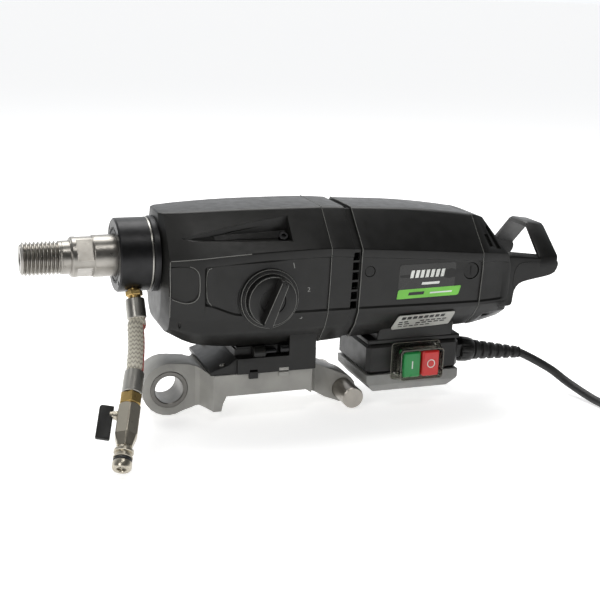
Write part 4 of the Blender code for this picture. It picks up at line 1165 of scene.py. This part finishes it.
def collar():
    """The water swivel: a turned black body with bright chamfers, its flange and screws."""
    body = turned((0, 0, 0), (1, 0, 0), [
        (87.3, 27.0), (87.3, 33.8), (88.8, 35.3), (117.9, 35.3), (118.9, 34.4), (118.9, 21),
        (108.5, 21), (108.5, 25),
        (96.5, 25), (96.5, 21), (94, 21), (94, 26.5), (87.9, 26.5)], 96, closed=True)
    port = rod(collar_place(22), collar_place(40), 6.3, 32)
    corners = [(COLLAR_SCREW_CIRCLE * math.cos(t), COLLAR_SCREW_CIRCLE * math.sin(t))
               for t in [math.radians(45 + 90 * i) for i in range(4)]]
    holes = [rod((85, *corner), (89.8, *corner), 2.3, 24) for corner in corners]
    keep("collar_finish", combine(body, [port, *holes]), "black_satin", smooth=30.0,
         replaces=("water_collar",))
    for number, corner in enumerate(corners):
        head = socket_screw(Vector((89.6, *corner)), Vector((-1, 0, 0)), 2.1, 1.6)
        keep(f"collar_screw_{number}", head, "steel", "black_satin")
    edge = turned((117.3, 0, 0), (1, 0, 0), [(0, 34.4), (0, 35.5), (1.2, 35.5), (1.8, 34.9),
                                             (1.8, 34.2)], 96, closed=True)
    keep("collar_edge", edge, "stainless", "black_satin")
    flange = turned((119.2, 0, 0), (1, 0, 0), [
        (0, 21.4), (0, 35.0), (1.0, 36.2), (2.2, 36.4), (6.0, 36.4), (6.0, 21.4)], 96, closed=True)
    keep("flange_finish", flange, "black_satin", smooth=30.0, replaces=("collar_flange",))
    seal = turned((87.6, 0, 0), (1, 0, 0), [
        (0, 20.6), (0, 24.0), (0.9, 24.0), (0.9, 25.2), (0, 25.2), (0, 26.0), (5.8, 26.2),
        (5.8, 20.6)], 96, closed=True)
    keep("seal_finish", seal, "rubber", smooth=30.0, replaces=("spindle_seal",))
    fitting = turned(collar_place(26), hose_out, [
        (0, 0), (0, 6.0), (9.3, 6.0), (9.3, 5.2), (10.4, 5.2), (10.4, 6.0), (18, 6.0),
        (18, 0)], 32)
    keep("fitting_finish", fitting, "brass", "nickel", replaces=("hose_fitting",))
    hexagon = turned(collar_place(36.2), hose_out, [(0, 0), (0, 7.6), (0.7, 8.2), (4.4, 8.2),
                                                    (5.1, 7.6), (5.1, 0)], 6)
    keep("fitting_hexagon", hexagon, "brass", "nickel", smooth=20.0)


threaded_spindle()
collar()


# ---------------------------------------------------------------- selector

def selector():
    """The speed selector: a stepped base, a ribbed knob with a grip bar, and its numerals."""
    base = turned((KNOB[0], 0, KNOB[1]), (0, -1, 0), [
        (60, 8.3), (60, 29), (62.1, 29), (62.5, 28.6), (62.5, 27.4), (63.7, 27.2), (64, 26.9),
        (64, 25.6), (64.5, 25.4), (64.8, 25.1), (64.8, 8.3)], 96, closed=True)
    keep("selector_base_finish", base, "black_plastic", smooth=25.0, replaces=("selector_base",))
    knob = turned((KNOB[0], 0, KNOB[1]), (0, -1, 0), [
        (56.7, 0), (56.7, 7.8), (65.2, 7.8), (65.2, 23.4), (65.6, 23.8), (70.6, 23.8),
        (71.7, 23.2), (72.2, 22.0), (72.2, 12.6), (71.2, 12.0), (71.2, 0)], 96)
    across = Vector((math.sin(GRIP_LEAN), math.cos(GRIP_LEAN)))
    wide = Vector((math.cos(GRIP_LEAN), -math.sin(GRIP_LEAN)))
    corners = [across * a + wide * b for a, b in (
        (23.2, 2.4), (22.4, 3.6), (-22.4, 4.8), (-23.2, 3.6), (-23.2, -3.6), (-22.4, -4.8),
        (22.4, -3.6), (23.2, -2.4))]
    outline = [(KNOB[0] + c.x, KNOB[1] + c.y) for c in corners]
    bar = rounded(slab(outline, -84, -70), 0.9, 3, 25)
    station, height = KNOB[0] + across.x * 21, KNOB[1] + across.y * 21
    mark = rod((station, -83.2, height), (station, -90, height), 1.3, 24)
    flutes = []
    for t in full_turn(40):
        station, height = KNOB[0] + 24.3 * math.cos(t), KNOB[1] + 24.3 * math.sin(t)
        flutes.append(rod((station, -64, height), (station, -70.4, height), 0.9, 8))
    knob = combine(combine(knob, [bar], "UNION"), [joined(flutes), mark])
    keep("selector_knob_finish", knob, "black_plastic", body="selector", smooth=25.0,
         replaces=("selector_knob",))
    # Thin pale beads on the base's and the knob's rims: painted highlights.
    for number, (reach, radius) in enumerate(((62.4, 28.5), (64.7, 25.2))):
        keep(f"selector_ring_{number}", thin_ring(reach, radius), "painted_highlight", "black_plastic")
    keep("selector_knob_ring", thin_ring(71.6, 23.2), "painted_highlight", "black_plastic", "selector")
    # Thin pale lines along the grip bar's long edges: painted highlights.
    for number, share in enumerate((-1, 1)):
        edge = []
        for reach in (-20.5, 20.5):
            width = 4.3 if reach < 0 else 3.2
            spot = across * reach + wide * width * share
            edge.append((KNOB[0] + spot.x, KNOB_FACE, KNOB[1] + spot.y))
        curve_piece(f"grip_edge_{number}", edge, 0.4, "painted_highlight", "black_plastic",
                    "selector", resolution=2)
    numeral("1", 247.2, -4.2, 8.0, -14)
    numeral("2", 263.2, -28.9, 6.5, 0)
    numeral("3", 257.0, -56.0, 6.5, 8)


def thin_ring(reach, radius):
    """A thin round bead about the selector's axis."""
    return turned((KNOB[0], 0, KNOB[1]), (0, -1, 0), bead(reach, radius, 0.3, 8), 96, closed=True)


def numeral(text, station, height, size, lean):
    """A raised speed number on the near side, coloured pale grey as a painted highlight on a black
    moulded number.
    """
    font = bpy.data.curves.new("numeral_" + text, "FONT")
    font.body = text
    font.size = size * MM
    font.extrude = 0.2 * MM
    font.align_x = "CENTER"
    font.align_y = "CENTER"
    holder = bpy.data.objects.new("numeral_" + text, font)
    bpy.context.scene.collection.objects.link(holder)
    mesh = taken(holder)
    y = -(side_at(station, height) - (panel_sink(station) if height > -45 else 0.3) + 0.05)
    turn = Matrix.Rotation(math.radians(lean), 4, "Y") @ Matrix.Rotation(math.radians(90), 4, "X")
    mesh.transform(Matrix.Translation(point(station, y, height)) @ turn)
    place("numeral_" + text, mesh, "grey_plastic", "black_cast")


selector()


# ---------------------------------------------------------------- labels

def labels():
    """A black and green name label and a silver rating plate, both with generic marks only."""
    sticker = soft_corners((357.5, -35.5), (420.0, -9.5), 3.0)
    keep("label_base", side_patch(sticker, 0.05, 0.25), "label_black", "black_plastic")
    strip = [(357.0, -44.9), (358.6, -45.0), (423.6, -44.4), (425.6, -43.2), (427.6, -35.4),
             (426.9, -34.5), (359.4, -35.3), (357.8, -36.4)]
    keep("label_strip", side_patch(strip, 0.05, 0.35), "label_green", "black_plastic")
    marks = []
    width = 3.6
    for i in range(7):
        left = 369.5 + i * 5.6
        marks.append((f"label_mark_{i}", [(left, -23.6), (left + width, -23.4),
                                          (left + width + 1.3, -15.6), (left + 1.3, -15.8)],
                      "white_print"))
    marks.append(("label_line", [(383.0, -31.2), (402.5, -31.0), (403.1, -28.4),
                                 (383.6, -28.6)], "white_print"))
    marks.append(("label_bar", [(369.0, -41.6), (386.0, -41.4), (387.0, -38.2),
                                (370.0, -38.4)], "print_black"))
    marks.append(("label_dash", [(393.0, -40.9), (417.5, -40.7), (418.0, -39.2),
                                 (393.5, -39.4)], "white_print"))
    for name, outline, look in marks:
        keep(name, side_patch(outline, 0.1, 0.42), look, "black_plastic")
    corners = [Vector(c) for c in ((360.6, -54.2, -63.2), (425.4, -53.7, -61.9),
                                   (426.9, -37.7, -79.9), (360.2, -39.7, -81.2))]
    normal = (corners[1] - corners[0]).cross(corners[3] - corners[0]).normalized()
    if normal.y > 0:
        normal = -normal

    def on_plate(u, v, lift):
        top = corners[0].lerp(corners[1], u)
        bottom = corners[3].lerp(corners[2], u)
        return tuple(top.lerp(bottom, v) + normal * lift)

    outline = [(0.04, 0), (0.97, 0), (0.99, 0.04), (1, 0.15), (0.985, 0.9), (0.97, 0.98),
               (0.95, 1), (0.03, 1), (0.01, 0.96), (0, 0.88), (0.02, 0.08)]
    plate = loft([[on_plate(u, v, lift) for u, v in outline] for lift in (0.2, 0.9)])
    keep("rating_plate", plate, "plate_silver", "black_plastic")
    rows = [(0.10, 0.30, 0.10, 0.86), (0.44, 0.52, 0.08, 0.26), (0.44, 0.52, 0.44, 0.92),
            (0.60, 0.68, 0.08, 0.30), (0.60, 0.68, 0.38, 0.90), (0.78, 0.84, 0.10, 0.66)]
    for number, (top, bottom, left, right) in enumerate(rows):
        dashes = max(1, int((right - left) / 0.09))
        step = (right - left) / dashes
        for i in range(dashes):
            a = left + i * step
            b = a + step * 0.72
            bar = loft([[on_plate(u, v, lift) for u, v in ((a, top), (b, top), (b, bottom),
                                                           (a, bottom))] for lift in (0.8, 1.0)])
            keep(f"plate_row_{number}_{i}", bar, "print_black", "black_plastic")


labels()


# ---------------------------------------------------------------- foot, plate and pin

RING = (137.0, -133.8)
PIN = (319.8, -148.6)
CLAMP_SCREW = -94.5


def mounting():
    """The black foot with its screws, the cast clamp plate, the bushed ring and the pin."""
    dress("clamp_plate", 1.3, "cast_grey", 24)
    bush = turned((RING[0], -17.6, RING[1]), (0, 1, 0), [
        (0, 14.8), (0, 18.0), (0.4, 18.5), (34.8, 18.5), (35.2, 18.0), (35.2, 14.8),
        (34.4, 14.0), (0.8, 14.0)], 72, closed=True)
    keep("ring_bush_finish", bush, "steel_dark", "steel", smooth=30.0, replaces=("ring_bush",))
    pin = turned((PIN[0], -48, PIN[1]), (0, 1, 0), [
        (0, 0), (0, 9.9), (1.1, 11), (94.9, 11), (96, 9.9), (96, 0)], 64)
    keep("clamp_pin_finish", pin, "steel_y", "steel", smooth=30.0, replaces=("clamp_pin",))
    foot()


def foot():
    """The black foot: its stepped block, clamp screws, tabs and the flange's small screws."""
    solid = node_copy("mounting_block")
    steps, rises = [], []
    for side in (-1, 1):
        inner, outer = sorted((side * 33.5, side * 52))
        steps.append(block((190, inner, -98.8), (250.8, outer, -80)))
        inner, outer = sorted((side * 30, side * 45))
        rises.append(block((250.8, inner, -110), (278.4, outer, -71.0)))
    solid = combine(combine(solid, steps), rises, "UNION")
    keep("foot_finish", rounded(solid, 0.9, 3, 24), "black_cast", smooth=30.0,
         replaces=("mounting_block",))
    for side, word in SIDES:
        y = side * 39.0
        boss = turned((214.5, y, CLAMP_SCREW), (1, 0, 0), [
            (0, 0), (0, 5.6), (1.0, 6.4), (11.5, 6.4), (12.5, 5.6), (12.5, 4.2), (10.5, 4.2),
            (10.5, 0)], 32)
        keep(f"foot_boss_{word}", boss, "black_cast")
        shank = rod((222, y, CLAMP_SCREW), (238, y, CLAMP_SCREW), 3.0, 24)
        keep(f"foot_shank_{word}", shank, "black_satin", "black_cast")
        head = socket_screw(Vector((250.9, y, -92.5)), Vector((-1, 0, 0)), 5.2, 9.0, False)
        keep(f"foot_screw_{word}", head, "black_satin", "black_cast")
        out = Vector((-0.316, 0, 0.949)).normalized()
        small = socket_screw(Vector((185.4, side * 36, -107.2)), out, 2.6, 1.9)
        keep(f"flange_screw_{word}", small, "stainless", "black_cast")
        for name, low, high, look in (("tab_dark", (209.8, -119.7), (218.9, -112.5), "black_cast"),
                                      ("tab_pale", (240.6, -113.6), (250.6, -110.4), "cast_grey"),
                                      ("tab_low", (240.6, -119.8), (250.6, -115.2), "cast_grey")):
            inner, outer = sorted((side * 40, side * 45.3))
            tab = rounded(block((low[0], inner, low[1]), (high[0], outer, high[1])), 0.4, 2, 24)
            keep(f"{name}_{word}", tab, look, "black_cast")


mounting()


# ---------------------------------------------------------------- switch box

GUARD = ((366.0, -131.5), (413.5, -99.5))
BUTTON_FACE = -56.9


def switch():
    """The switch box, its grey cover, the clear guard, the buttons and the gland."""
    dress("switch_box", 2.2, "black_plastic", 60, segments=4)
    dress("switch_cover", 0.9, "grey_plastic", 24)
    dress("switch_guard", 0.7, "clear", 40)
    dress("start_button", 0.6, "green", 40, body="start")
    dress("stop_button", 0.6, "red", 40, body="stop")
    # Pale beads round the clear guard's edges: painted highlights.
    for number, (y, grow) in enumerate(((-57.6, -0.3), (-41.2, 3.2))):
        (left, bottom), (right, top) = GUARD
        rim = soft_corners((left - grow, bottom - grow), (right + grow, top + grow), 3.4)
        places = [(station, y, height) for station, height in rim + rim[:1]]
        curve_piece(f"guard_rim_{number}", places, 0.38, "painted_guard_highlight", "clear", resolution=2)
    lid = rounded(block((336.8, -39.6, -96.3), (440, 39.6, -91.6)), 1.2, 3)
    keep("switch_box_lid", lid, "black_plastic")
    bar = rounded(block((378.5, -57.25, -119.4), (379.7, BUTTON_FACE, -111.4)), 0.1, 2)
    keep("start_mark", bar, "white_print", "green", "start")
    circle = turned((400.0, BUTTON_FACE, -115.5), (0, -1, 0), [(0, 3.6), (0, 4.4), (0.35, 4.4),
                                                          (0.35, 3.6)], 48, closed=True)
    keep("stop_mark", circle, "white_print", "red", "stop")
    collar_nut = turned(relief_place(10), gland_axis, [
        (0, 0), (0, 12.4), (1.0, 13.4), (9.0, 13.0), (14.5, 11.8), (16, 10.2), (16, 0)], 48)
    across = Vector((0, 1, 0)).cross(gland_axis).normalized()
    up = gland_axis.cross(across)
    flutes = []
    for t in full_turn(12):
        out = (across * math.cos(t) + up * math.sin(t)) * 14.2
        flutes.append(rod(relief_place(8) + out, relief_place(23) + out, 1.7, 12))
    keep("gland_nut", combine(collar_nut, [joined(flutes)]), "black_plastic")
    seat = GLAND[0] + Vector((0.3, 0, 0))
    hexagon = turned(seat, (1, 0, 0), [(0, 0), (0, 12.5), (10.2, 12.5), (11, 11.8), (11, 0)], 6)
    keep("gland_seat", hexagon, "black_plastic", smooth=30.0, replaces=("cable_gland",))


switch()


# ---------------------------------------------------------------- CAD nodes that stay

STAYING = {
    "steel": ("armature_pinion", "armature_shaft", "countershaft", "countershaft_gear",
              "countershaft_pinion", "selector_crank", "shift_fork", "shift_rod", "shift_sleeve",
              "spindle_gear"),
    "stainless": ("armature_bearing_front", "armature_bearing_rear",
                  "countershaft_bearing_front", "countershaft_bearing_rear",
                  "spindle_bearing_front", "spindle_bearing_rear"),
    "core_iron": ("armature_core", "stator_core"),
    "cast_grey": ("bearing_plate", "gearbox_bulkhead"),
    "carbon": ("brush_far", "brush_near"),
    "copper": ("commutator",),
    "grey_plastic": ("cooling_fan",),
    "black_plastic": ("switch_module",),
}

for look, names in STAYING.items():
    for name in names:
        materials = nodes[name].data.materials
        materials.clear()
        materials.append(LOOKS[look])


# ---------------------------------------------------------------- floor and light

def studio_world():
    """A dark room on the camera's side that grows lighter to the back and above."""
    world = bpy.data.worlds.new("studio")
    world.use_nodes = True
    tree = world.node_tree
    background = tree.nodes["Background"]
    background.inputs["Color"].default_value = (0.96, 0.98, 1.0, 1.0)
    coordinates = tree.nodes.new("ShaderNodeTexCoord")
    parts = tree.nodes.new("ShaderNodeSeparateXYZ")
    tree.links.new(coordinates.outputs["Generated"], parts.inputs["Vector"])
    backwards = tree.nodes.new("ShaderNodeMapRange")
    backwards.interpolation_type = "SMOOTHSTEP"
    backwards.inputs["From Min"].default_value = -0.3
    backwards.inputs["From Max"].default_value = 0.95
    backwards.inputs["To Min"].default_value = 0.07
    backwards.inputs["To Max"].default_value = 1.02
    tree.links.new(parts.outputs["Y"], backwards.inputs["Value"])
    tree.links.new(backwards.outputs["Result"], background.inputs["Strength"])
    bpy.context.scene.world = world


def stage_and_light():
    """A pale floor that runs to the horizon, and soft boxes above, behind and to the left."""
    floor_look = new_look("floor", (0.90, 0.90, 0.90), 0.9, specular=0.1)
    shader_of(floor_look).inputs["Emission Color"].default_value = (1.0, 1.0, 1.0, 1.0)
    shader_of(floor_look).inputs["Emission Strength"].default_value = 0.6
    vary_roughness(floor_look, pattern(floor_look, 60.0, 2.0), 0.85, 0.95)
    bm = bmesh.new()
    bmesh.ops.create_grid(bm, x_segments=1, y_segments=1, size=60.0)
    mesh = mesh_of(bm, "floor")
    mesh.materials.append(floor_look)
    floor = bpy.data.objects.new("floor", mesh)
    bpy.context.scene.collection.objects.link(floor)
    floor.location.z = (TABLE + SPINDLE_TO_SEAT - 0.2) * MM
    for name, where, size, power in (
            ("light_top", (0.10, 0.75, 1.6), (2.0, 0.9), 24.0),
            ("light_left", (-1.0, -1.15, 0.7), (0.4, 0.9), 6.0),
            ("light_front", (0.1, -1.0, 1.9), (0.9, 0.4), 5.0)):
        lamp = bpy.data.lights.new(name, "AREA")
        lamp.shape = "RECTANGLE"
        lamp.size, lamp.size_y = size
        lamp.energy = power
        lamp.color = (1.0, 0.99, 0.97)
        holder = bpy.data.objects.new(name, lamp)
        holder.location = where
        aim = Vector((0.05, 0.0, 0.1)) - Vector(where)
        holder.rotation_euler = aim.to_track_quat("-Z", "Y").to_euler()
        bpy.context.scene.collection.objects.link(holder)
    studio_world()
    bpy.context.scene.view_settings.view_transform = "Standard"


stage_and_light()
